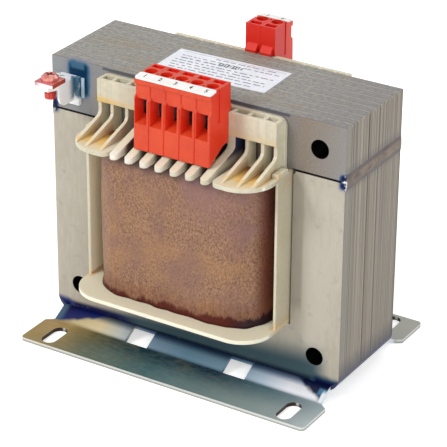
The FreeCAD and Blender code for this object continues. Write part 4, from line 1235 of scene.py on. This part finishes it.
class Wardrobe:
    """Every finish, built once, by the name of what wears it."""

    def __init__(self) -> None:
        """Builds the node groups and the materials."""
        groups = Groups.build()
        self.laminations = Laminations().build(groups)
        self.weld = WeldBead().build(groups)
        self.zinc = ZincSheet().build(groups)
        self.ivory = IvoryNylon().build(groups)
        self.fleece = FleeceWrap().build(groups)
        self.terminal = TerminalNylon().build(groups)
        self.steel = PlatedSteel().build(groups)
        self.cage = PlatedSteel("shaded_cage", 0.4, dark=(34, 18, 22),
                                light=(104, 84, 88)).build(groups)
        self.bracket = PlatedSteel("blued_bracket", 0.3, 0.0, dark=(244, 248, 250),
                                   light=(255, 255, 255), blue=True).build(groups)
        self.copper = CopperySteel().build(groups)
        self.enamel, self.paper, self.sleeve, self.card, self.film, self.ink, self.black_ink = (
            PlainSkin(name, rough, coat=coat, dark=dark, light=light).build(groups)
            for name, rough, coat, dark, light in (
                ("enamelled_wire", 0.3, 0.0, (120, 52, 22), (168, 84, 38)),
                ("varnished_paper", 0.5, 0.0, (150, 112, 78), (176, 136, 98)),
                ("tan_sleeve", 0.5, 0.0, (176, 132, 70), (204, 164, 96)),
                ("marker_card", 0.55, 0.0, (238, 236, 232), (248, 247, 244)),
                ("label_film", 0.3, 0.2, (226, 229, 238), (238, 240, 247)),
                ("grey_ink", 0.6, 0.0, (96, 98, 106), (120, 122, 130)),
                ("black_ink", 0.6, 0.0, (30, 30, 32), (44, 44, 46))))


def dress(nodes: Sequence[str], material: bpy.types.Material) -> None:
    """Gives CAD nodes their finish.

    Args:
        nodes: the nodes' names.
        material: the finish that they wear.
    """
    for name in nodes:
        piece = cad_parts[name]
        piece.data.materials.clear()
        piece.data.materials.append(material)
        log.info("%s wears %s", name, material.name)


def place_object(name: str, data: bpy.types.ID) -> bpy.types.Object:
    """Adds an object with its data to the scene.

    Args:
        name: the name.
        data: what the object shows.

    Returns:
        The new object.
    """
    added = bpy.data.objects.new(name, data)
    bpy.context.scene.collection.objects.link(added)
    return added


def take_shape(carrier: bpy.types.Object) -> bmesh.types.BMesh:
    """Takes an object's evaluated shape as a plain mesh, and removes the object.

    Args:
        carrier: the object, such as a text or one with a modifier.

    Returns:
        The mesh.
    """
    shaped = carrier.evaluated_get(bpy.context.evaluated_depsgraph_get())
    baked = bpy.data.meshes.new_from_object(shaped)
    bpy.data.objects.remove(carrier)
    mesh = bmesh.new()
    mesh.from_mesh(baked)
    bpy.data.meshes.remove(baked)
    return mesh


def add_mesh(name: str, mesh: bmesh.types.BMesh, material: bpy.types.Material,
             slot: str, *replaced: str) -> bpy.types.Object:
    """Turns a mesh into a finished piece of the object.

    Args:
        name: the piece's name.
        mesh: its faces, in the frame.
        material: its finish.
        slot: the record's material slot; not used.
        replaced: the CAD nodes that it stands for.

    Returns:
        The new object.
    """
    bmesh.ops.remove_doubles(mesh, verts=mesh.verts, dist=1e-7)
    bmesh.ops.recalc_face_normals(mesh, faces=mesh.faces)
    data = bpy.data.meshes.new(name)
    mesh.to_mesh(data)
    mesh.free()
    data.materials.append(material)
    piece = place_object(name, data)
    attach(piece, ROOT)
    if replaced:
        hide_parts(*replaced)
    log.info("%s has %d faces", name, len(data.polygons))
    return piece


def fill_row(tree: bpy.types.NodeTree) -> None:
    """Fills the node group that repeats a unit along a line, with a small change of size.

    Args:
        tree: the group's tree.
    """
    inputs = {"Unit": "Geometry", "Count": "Int", "Start": "Vector", "Step": "Vector",
              "Wobble": "Float", "Seed": "Int", "Finish": "Material"}
    for label, kind in inputs.items():
        tree.interface.new_socket(name=label, in_out="INPUT", socket_type="NodeSocket" + kind)
    tree.interface.new_socket(name="Row", in_out="OUTPUT", socket_type="NodeSocketGeometry")
    w = Wiring(tree)
    given = w.add("NodeGroupInput").outputs
    result = w.add("NodeGroupOutput")
    line = w.add("GeometryNodeMeshLine", mode="OFFSET")
    size = w.add("FunctionNodeRandomValue", data_type="FLOAT")
    copies = w.add("GeometryNodeInstanceOnPoints")
    solid = w.add("GeometryNodeRealizeInstances")
    finish = w.add("GeometryNodeSetMaterial")
    least = w.maths("SUBTRACT", 1.0, given["Wobble"])
    for node, key, source in (
            (line, "Count", given["Count"]), (line, "Start Location", given["Start"]),
            (line, "Offset", given["Step"]), (size, 2, least), (size, 3, 1.0),
            (size, "Seed", given["Seed"]), (copies, "Points", line.outputs["Mesh"]),
            (copies, "Instance", given["Unit"]), (copies, "Scale", size.outputs[1]),
            (solid, 0, copies.outputs["Instances"]), (finish, "Geometry", solid.outputs[0]),
            (finish, "Material", given["Finish"]), (result, "Row", finish.outputs["Geometry"])):
        w.feed(node.inputs[key], source)


@dataclass
class Row:
    """A unit that repeats along a line, laid out by Geometry Nodes and kept as a plain mesh.

    Attributes:
        name: the piece's name.
        count: how many units.
        start: the first unit's place.
        step: the way from each unit to the next.
        wobble: how much smaller a unit may be, as a share.
        seed: the start of the random sizes.
    """

    name: str
    count: int
    start: Vector
    step: Vector
    wobble: float = 0.0
    seed: int = 3

    def lay(self, unit: bmesh.types.BMesh, material: bpy.types.Material,
            slot: str) -> bpy.types.Object:
        """Lays the row and adds it to the object.

        Args:
            unit: the unit's mesh, about the origin.
            material: its finish.
            slot: the record's material slot.

        Returns:
            The row as one piece.
        """
        tree = bpy.data.node_groups.get("row")
        if tree is None:
            tree = bpy.data.node_groups.new("row", "GeometryNodeTree")
            fill_row(tree)
        data = bpy.data.meshes.new(self.name + "_unit")
        unit.to_mesh(data)
        unit.free()
        carrier = place_object(self.name + "_unit", data)
        modifier = carrier.modifiers.new("row", "NODES")
        modifier.node_group = tree
        values = {"Count": self.count, "Start": self.start, "Step": self.step,
                  "Wobble": self.wobble, "Seed": self.seed, "Finish": material}
        for item in tree.interface.items_tree:
            if item.name in values:
                modifier[item.identifier] = values[item.name]
        piece = add_mesh(self.name, take_shape(carrier), material, slot)
        piece.data.shade_smooth()
        return piece


def ball(half: Vector, turns: int = 16, rings: int = 8) -> bmesh.types.BMesh:
    """A ball drawn out to the given half sizes.

    Args:
        half: the half sizes.
        turns: the steps round.
        rings: the steps upwards.

    Returns:
        The ball's mesh.
    """
    mesh = bmesh.new()
    bmesh.ops.create_uvsphere(mesh, u_segments=turns, v_segments=rings, radius=1.0)
    bmesh.ops.scale(mesh, vec=half, verts=mesh.verts)
    return mesh


def span(mesh: bmesh.types.BMesh, loops: Sequence[Sequence[bmesh.types.BMVert]]) -> None:
    """Lays faces from each closed loop of points to the next.

    Args:
        mesh: the mesh that the faces go into.
        loops: the loops of points.
    """
    for first, second in zip(loops, loops[1:]):
        for index in range(len(first)):
            after = (index + 1) % len(first)
            mesh.faces.new((first[index], first[after], second[after], second[index]))


def ring(radius: float, wire: float, turns: int = 28, sides: int = 6) -> bmesh.types.BMesh:
    """A ring about Z, of the given radius and half thickness.

    Args:
        radius: from the axis to the middle of the wire.
        wire: half the wire's thickness.
        turns, sides: how many steps round the axis and round the wire.

    Returns:
        The ring's mesh.
    """
    mesh = bmesh.new()
    loops = []
    for turn in range(turns):
        angle = 2 * math.pi * turn / turns
        loop = []
        for side in range(sides):
            slant = 2 * math.pi * side / sides
            out = radius + wire * math.cos(slant)
            spot = (out * math.cos(angle), out * math.sin(angle), wire * math.sin(slant))
            loop.append(mesh.verts.new(spot))
        loops.append(loop)
    for turn in range(turns):
        first, second = loops[turn], loops[(turn + 1) % turns]
        for side in range(sides):
            after = (side + 1) % sides
            mesh.faces.new((first[side], second[side], second[after], first[after]))
    return mesh


@dataclass
class Core:
    """The two stacks and the beads that hold them together.

    Attributes:
        ripple: from one ripple of a joint bead to the next.
        crown: half the width of a ripple.
        length, height: half its length and height.
        first, margin: where the ripples start, and what they leave free in all.
    """

    ripple: float = 1.05 * MM
    crown: float = 0.85 * MM
    length: float = 0.72 * MM
    height: float = 1.7 * MM
    first: float = 0.7 * MM
    margin: float = 1.2 * MM

    def dress(self, wear: Wardrobe) -> None:
        """Gives the stacks and welds their finishes, and lays the ripples of the joint beads.

        Args:
            wear: the finishes.
        """
        dress(("core_e_stack", "core_i_stack"), wear.laminations)
        dress(("joint_weld_left", "joint_weld_right", "foot_weld_left", "foot_weld_right"),
              wear.weld)
        for word, side in (("left", -1), ("right", 1)):
            low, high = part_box("joint_weld_" + word)
            outer = low.x if side < 0 else high.x
            count = int((high.y - low.y - self.margin) / self.ripple) + 1
            start = Vector((outer - side * self.crown, low.y + self.first, (low.z + high.z) / 2))
            row = Row("weld_ripples_" + word, count, start, Vector((0, self.ripple, 0)), 0.12)
            unit = ball(Vector((self.crown, self.length, self.height)))
            row.lay(unit, wear.weld, "weld")


@dataclass
class Feet:
    """The two folded feet."""

    def dress(self, wear: Wardrobe) -> None:
        """Gives the feet their zinc."""
        dress(("foot_front", "foot_back"), wear.zinc)


@dataclass
class Coil:
    """The windings and their wrap on the bobbin.

    Attributes:
        rings, along: how many steps the wrap has upwards and round.
        corner: the radius of its corners.
        thick: how much less the radius is on its inner side.
        bulge, ripple, flare: how far its middle, its waves and its hem stand out, in millimetres.
        sink: how far the whole skin is drawn in, in millimetres.
    """

    rings: int = 56
    along: int = 220
    corner: float = 14.8 * MM
    thick: float = 1.0 * MM
    bulge: float = 0.5
    ripple: float = 0.16
    flare: float = 1.3
    sink: float = 0.1

    def dress(self, wear: Wardrobe) -> None:
        """Dresses the bobbin and the windings, and lays the wrap over them.

        Args:
            wear: the finishes.
        """
        dress(("bobbin",), wear.ivory)
        dress(("primary_winding", "secondary_winding"), wear.enamel)
        dress(("layer_insulation",), wear.paper)
        self.wrap(wear)

    def outline(self, half: Vector, corner: float) -> list[Vector]:
        """Points round the coil at one height, evenly spaced.

        Args:
            half: half the width and depth.
            corner: the radius of the corners.

        Returns:
            The points, anticlockwise, at height zero.
        """
        flat_x = half.x - corner
        flat_y = half.y - corner
        arc = corner * math.pi / 2
        total = 4 * (flat_x + flat_y + arc)
        points = []
        for step in range(self.along):
            run = total * step / self.along
            for quarter in range(4):
                edge, first, second = ((half.x, flat_y, flat_x) if quarter % 2 == 0
                                       else (half.y, flat_x, flat_y))
                if run < first:
                    spot = Vector((edge, run))
                elif run - first < arc:
                    angle = (run - first) / corner
                    middle = Vector((edge - corner, first))
                    spot = middle + corner * Vector((math.cos(angle), math.sin(angle)))
                elif run - first - arc < second:
                    spot = Vector((second - (run - first - arc), first + corner))
                else:
                    run = run - first - arc - second
                    continue
                points.append(turned(spot, quarter))
                break
        return points

    def wrap(self, wear: Wardrobe) -> None:
        """Lays the fleece: a full, slightly uneven skin with a ragged hem.

        Args:
            wear: the finishes.
        """
        low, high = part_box("coil_wrap")
        inner_low, inner_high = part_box("secondary_winding")
        mesh = bmesh.new()
        outer = self.outline(((high - low) / 2).xy, self.corner)
        inside = self.outline(((inner_high - inner_low) / 2).xy, self.corner - self.thick)
        loops = []
        for ring in range(self.rings + 1):
            share = ring / self.rings
            height = low.z + (high.z - low.z) * share
            full = self.bulge * MM * (4 * share * (1 - share) - 0.9)
            loop = []
            for spot in outer:
                place = Vector((spot.x, spot.y, height))
                wave = noise.noise(place * 90) * self.ripple
                wave += noise.noise(place * 420) * self.ripple * 0.4
                torn = 0.6 + 0.8 * noise.noise(Vector((spot.x, spot.y, 0.0)) * 160)
                wave += self.flare * torn * max(0.0, 1 - share / 0.07) ** 2
                pushed = spot + spot.normalized() * (full + wave * MM - self.sink * MM)
                loop.append(mesh.verts.new((pushed.x, pushed.y, height)))
            loops.append(loop)
        floor, roof = ([mesh.verts.new((spot.x, spot.y, level)) for spot in inside]
                       for level in (low.z, high.z))
        span(mesh, [floor, *loops, roof, floor])
        piece = add_mesh("fleece_wrap", mesh, wear.fleece, "insulation", "coil_wrap")
        piece.data.shade_smooth()


def turned(spot: Vector, quarter: int) -> Vector:
    """A point turned by so many quarter turns about the middle.

    Args:
        spot: the point.
        quarter: how many quarter turns.

    Returns:
        The turned point.
    """
    for _ in range(quarter):
        spot = Vector((-spot.y, spot.x))
    return spot


@dataclass
class Terminals:
    """One block of poles with its metal, leads and marker strip.

    Attributes:
        side: the face of the core that it stands at.
        count: how many poles it has.
        radius: the radius of the strip's corners.
        thick: the strip's thickness.
        back, reach, fall: how far out the strip starts, how far it reaches from there, and how
            much it falls on the way.
        proud: how far the numbers stand above it.
    """

    side: Side
    count: int
    radius: float = 0.9 * MM
    thick: float = 0.5 * MM
    back: float = 33.45 * MM
    reach: float = 4.15 * MM
    fall: float = 0.5 * MM
    proud: float = 0.02 * MM

    @property
    def place(self) -> str:
        """The word that the block's nodes carry."""
        return self.side.name.lower()

    def dress(self, wear: Wardrobe) -> None:
        """Dresses the poles, the metal in them, the leads and the strip.

        Args:
            wear: the finishes.
        """
        dress([f"terminal_pole_{self.place}_{number + 1}" for number in range(self.count)],
              wear.terminal)
        dress(("clamp_cages_" + self.place,), wear.cage)
        dress(("clamp_screws_" + self.place,), wear.steel)
        dress(("winding_leads_" + self.place,), wear.sleeve)
        self.strip(wear)

    def slope(self, y: float) -> float:
        """The height of the strip's upper face above its back edge, so far from the middle."""
        return -self.fall * (abs(y) - self.back) / self.reach

    def strip(self, wear: Wardrobe) -> None:
        """Lays the marker strip, with rounded corners, and a plain number over each pole.

        Args:
            wear: the finishes.
        """
        low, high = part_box("marker_strip_" + self.place)
        mesh = bmesh.new()
        outline = []
        for across, along, start in ((1, 1, 0), (-1, 1, 1), (-1, -1, 2), (1, -1, 3)):
            centre_x = (high.x - self.radius) if across > 0 else (low.x + self.radius)
            centre_y = (high.y - self.radius) if along > 0 else (low.y + self.radius)
            for step in range(6):
                angle = (start + step / 5) * math.pi / 2
                outline.append((centre_x + self.radius * math.cos(angle),
                                centre_y + self.radius * math.sin(angle)))
        upper, lower = ([mesh.verts.new((x, y, high.z + self.slope(y) - drop)) for x, y in outline]
                        for drop in (0.0, self.thick))
        mesh.faces.new(upper)
        mesh.faces.new(list(reversed(lower)))
        for index in range(len(outline)):
            after = (index + 1) % len(outline)
            mesh.faces.new((upper[index], lower[index], lower[after], upper[after]))
        add_mesh("marker_card_" + self.place, mesh, wear.card, "marker_card",
                 "marker_strip_" + self.place)
        pitch = (high.x - low.x) / self.count
        middle = (low.y + high.y) / 2
        level = high.z + self.slope(middle) + self.proud
        for number in range(self.count):
            centre = Vector((low.x + (number + 0.5) * pitch, middle, level))
            self.digit(number + 1, centre, wear)

    def digit(self, number: int, centre: Vector, wear: Wardrobe) -> None:
        """Prints a number on the strip, upright for someone who faces its side.

        Args:
            number: the number.
            centre: its middle.
            wear: the finishes.
        """
        name = f"{self.place}_number_{number}"
        curve = bpy.data.curves.new(name, "FONT")
        curve.body = str(number)
        curve.size = 2.7 * MM
        curve.offset = 0.05 * MM
        curve.align_x = "CENTER"
        curve.align_y = "CENTER"
        mesh = take_shape(place_object(name + "_text", curve))
        tilt = Matrix.Rotation(math.atan2(self.fall, self.reach), 4, "X")
        turn = Matrix.Rotation(math.pi if self.side is Side.BACK else 0.0, 4, "Z") @ tilt
        bmesh.ops.transform(mesh, matrix=Matrix.Translation(centre) @ turn, verts=mesh.verts)
        add_mesh(name, mesh, wear.black_ink, "marker_card")


@dataclass
class EarthClamp:
    """The earth clamp on the front of the upper yoke.

    Attributes:
        pitch: the pitch of the screw's thread.
        thread_radius, thread_half: the radius and half thickness of a turn of the thread.
        tail: the plain end of the screw.
        sheet: the height of the bracket's shelf, which the thread stops below.
    """

    pitch: float = 0.7 * MM
    thread_radius: float = 1.96 * MM
    thread_half: float = 0.22 * MM
    tail: float = 0.4 * MM
    sheet: float = 1.6 * MM

    def thread(self, wear: Wardrobe) -> None:
        """Winds the thread round the shank of the screw, below the clamp.

        Args:
            wear: the finishes.
        """
        low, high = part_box("earth_screw")
        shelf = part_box("earth_bracket")[1].z - self.sheet
        start = Vector(((low.x + high.x) / 2, (low.y + high.y) / 2, low.z + self.tail))
        count = int((shelf - start.z) / self.pitch)
        row = Row("earth_thread", count, start, Vector((0, 0, self.pitch)))
        row.lay(ring(self.thread_radius, self.thread_half), wear.copper, "plated_steel")

    def flange(self, wear: Wardrobe) -> None:
        """Lays the bracket's narrow flange along the yoke, over the hole behind the clamp.

        Args:
            wear: the finishes.
        """
        mesh = bmesh.new()
        bmesh.ops.create_cube(mesh, size=1.0)
        bmesh.ops.scale(mesh, vec=mm(1.9, 0.5, 7.6), verts=mesh.verts)
        bmesh.ops.translate(mesh, vec=mm(-46.95, -20.25, 95.2), verts=mesh.verts)
        add_mesh("earth_flange", mesh, wear.bracket, "plated_steel")

    def dress(self, wear: Wardrobe) -> None:
        """Dresses the bracket, the saddle and the screw.

        Args:
            wear: the finishes.
        """
        self.thread(wear)
        self.flange(wear)
        dress(("earth_bracket",), wear.bracket)
        dress(("earth_saddle", "earth_screw"), wear.copper)


@dataclass
class Label:
    """The label on top of the core, with plain bars in place of print.

    Attributes:
        turn: how far the print is turned on the label.
        seed: the start of the random lengths.
        proud: how far the bars lie above the label.
        rows: each row's height on the label, the height of its bars, and its right and left
            ends, in millimetres from the middle.
    """

    turn: float = math.radians(2.0)
    seed: int = 11
    proud: float = 0.01 * MM
    rows: tuple[tuple[float, float, float, float], ...] = (
        (8.6, 0.16, 21, -21), (7.2, 0.5, 18, -8), (5.0, 0.5, 20, -20), (2.8, 0.7, 4, -20),
        (0.6, 0.55, 20, -20), (-1.5, 0.55, 12, -20), (-3.7, 0.55, 20, -20),
        (-5.9, 0.55, 20, -20), (-8.3, 0.5, 16, -16))

    def dress(self, wear: Wardrobe) -> None:
        """Dresses the label and lays its bars: nine rows, and a block of nine tall bars.

        Args:
            wear: the finishes.
        """
        dress(("rating_label",), wear.film)
        low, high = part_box("rating_label")
        centre = Vector(((low.x + high.x) / 2, (low.y + high.y) / 2, high.z + self.proud))
        place = Matrix.Translation(centre) @ Matrix.Rotation(self.turn, 4, "Z")
        draw = random.Random(self.seed)
        mesh = bmesh.new()
        for y, height, right, left in self.rows:
            x = left + draw.uniform(0, 1.5)
            while x < right:
                length = right - x if height < 0.3 else min(draw.uniform(0.8, 3.4), right - x)
                self.bar(mesh, place, x, y, length, height)
                x += length + draw.uniform(0.5, 1.3)
        for index in range(9):
            self.bar(mesh, place, -3.5 + index * 1.1, 3.2, draw.uniform(0.35, 0.8), 1.9)
        add_mesh("label_bars", mesh, wear.ink, "label_film")

    def bar(self, mesh: bmesh.types.BMesh, place: Matrix, x: float, y: float,
            length: float, height: float) -> None:
        """Adds one bar, in millimetres from the middle of the label."""
        corners = ((x, y), (x + length, y), (x + length, y + height), (x, y + height))
        mesh.faces.new([mesh.verts.new(place @ mm(across, up, 0)) for across, up in corners])


@dataclass(frozen=True)
class Shot:
    """The camera: where it looks, from where, and with what lens."""

    target: Vector = Vector((-0.025, 0.0, 45.36)) * MM
    distance: float = 820.87 * MM
    azimuth: float = math.radians(31.546)
    elevation: float = math.radians(26.536)
    roll: float = math.radians(0.452)
    lens: float = 182.47

    def place(self) -> None:
        """Sets the camera up and makes it the scene's own."""
        cos_a, sin_a = math.cos(self.azimuth), math.sin(self.azimuth)
        cos_e, sin_e = math.cos(self.elevation), math.sin(self.elevation)
        back = Vector((sin_a * cos_e, -cos_a * cos_e, sin_e))
        right = Vector((cos_a, sin_a, 0.0))
        up = back.cross(right)
        cos_r, sin_r = math.cos(self.roll), math.sin(self.roll)
        across = right * cos_r + up * sin_r
        upward = up * cos_r - right * sin_r
        data = bpy.data.cameras.new("camera")
        data.sensor_width = 36.0
        data.lens = self.lens
        data.clip_start = 0.01
        data.clip_end = 20.0
        camera = place_object("camera", data)
        turn = Matrix((across, upward, back)).transposed().to_4x4()
        camera.matrix_world = Matrix.Translation(self.target + back * self.distance) @ turn
        bpy.context.scene.camera = camera


@dataclass(frozen=True)
class Lamp:
    """A soft square lamp that points at the object."""

    name: str
    place: Vector
    power: float
    size: float

    def hang(self, target: Vector) -> None:
        """Hangs the lamp, facing the target.

        Args:
            target: the place it faces.
        """
        data = bpy.data.lights.new(self.name, "AREA")
        data.energy = self.power
        data.size = self.size
        lamp = place_object(self.name, data)
        lamp.location = self.place
        lamp.rotation_euler = (target - self.place).to_track_quat("-Z", "Y").to_euler()


@dataclass
class Studio:
    """A pale floor, a plain bright room and soft lamps."""

    floor_half: float = 3.0
    target: Vector = Vector((0, 0, 50)) * MM

    def seen(self, w: Wiring) -> Signal:
        """1 for rays that show the surroundings: from the camera, in gloss or through glass.

        Args:
            w: the wiring.

        Returns:
            The share.
        """
        rays = w.add("ShaderNodeLightPath").outputs
        gloss = w.maths("MAXIMUM", rays["Is Camera Ray"], rays["Is Glossy Ray"])
        return w.maths("MAXIMUM", gloss, rays["Is Transmission Ray"])

    def build(self) -> None:
        """Builds the floor, the world and the lamps."""
        self.floor()
        self.world()
        for lamp in (Lamp("key", Vector((-0.75, -1.2, 1.1)), 15.0, 0.5),
                     Lamp("fill", Vector((1.2, -0.9, 0.5)), 7.0, 1.2),
                     Lamp("rim", Vector((0.3, 1.2, 1.1)), 5.0, 0.8)):
            lamp.hang(self.target)

    def floor(self) -> None:
        """A wide pale floor that keeps the object's shadow."""
        mesh = bpy.data.meshes.new("floor")
        half = self.floor_half
        corners = [(-half, -half, 0), (half, -half, 0), (half, half, 0), (-half, half, 0)]
        mesh.from_pydata(corners, [], [(0, 1, 2, 3)])
        material = bpy.data.materials.new("floor")
        material.use_nodes = True
        w = Wiring(material.node_tree)
        shader = material.node_tree.nodes["Principled BSDF"]
        for name, value in (("Base Color", grey(0.82)), ("Roughness", 0.9),
                            ("Emission Color", grey(1.0)),
                            ("Emission Strength", self.seen(w) * 0.55)):
            w.feed(shader.inputs[name], value)
        mesh.materials.append(material)
        place_object("floor", mesh)

    def world(self) -> None:
        """An even room that lights the object, white where it is seen."""
        world = bpy.data.worlds.new("room")
        bpy.context.scene.world = world
        world.use_nodes = True
        w = Wiring(world.node_tree)
        background = world.node_tree.nodes["Background"]
        w.feed(background.inputs["Color"], grey(1.0))
        w.feed(background.inputs["Strength"], self.seen(w) * 0.45 + 0.55)


def main() -> None:
    """Dresses the frame, adds the loose detail and sets the scene."""
    logging.basicConfig(level=logging.INFO, format="%(name)s: %(message)s")
    bpy.context.scene.view_settings.view_transform = "Standard"
    Shot().place()
    wear = Wardrobe()
    for part in (Core(), Feet(), Coil(), Terminals(Side.FRONT, 5), Terminals(Side.BACK, 2),
                 EarthClamp(), Label()):
        part.dress(wear)
    Studio().build()


if __name__ == "__main__":
    main()
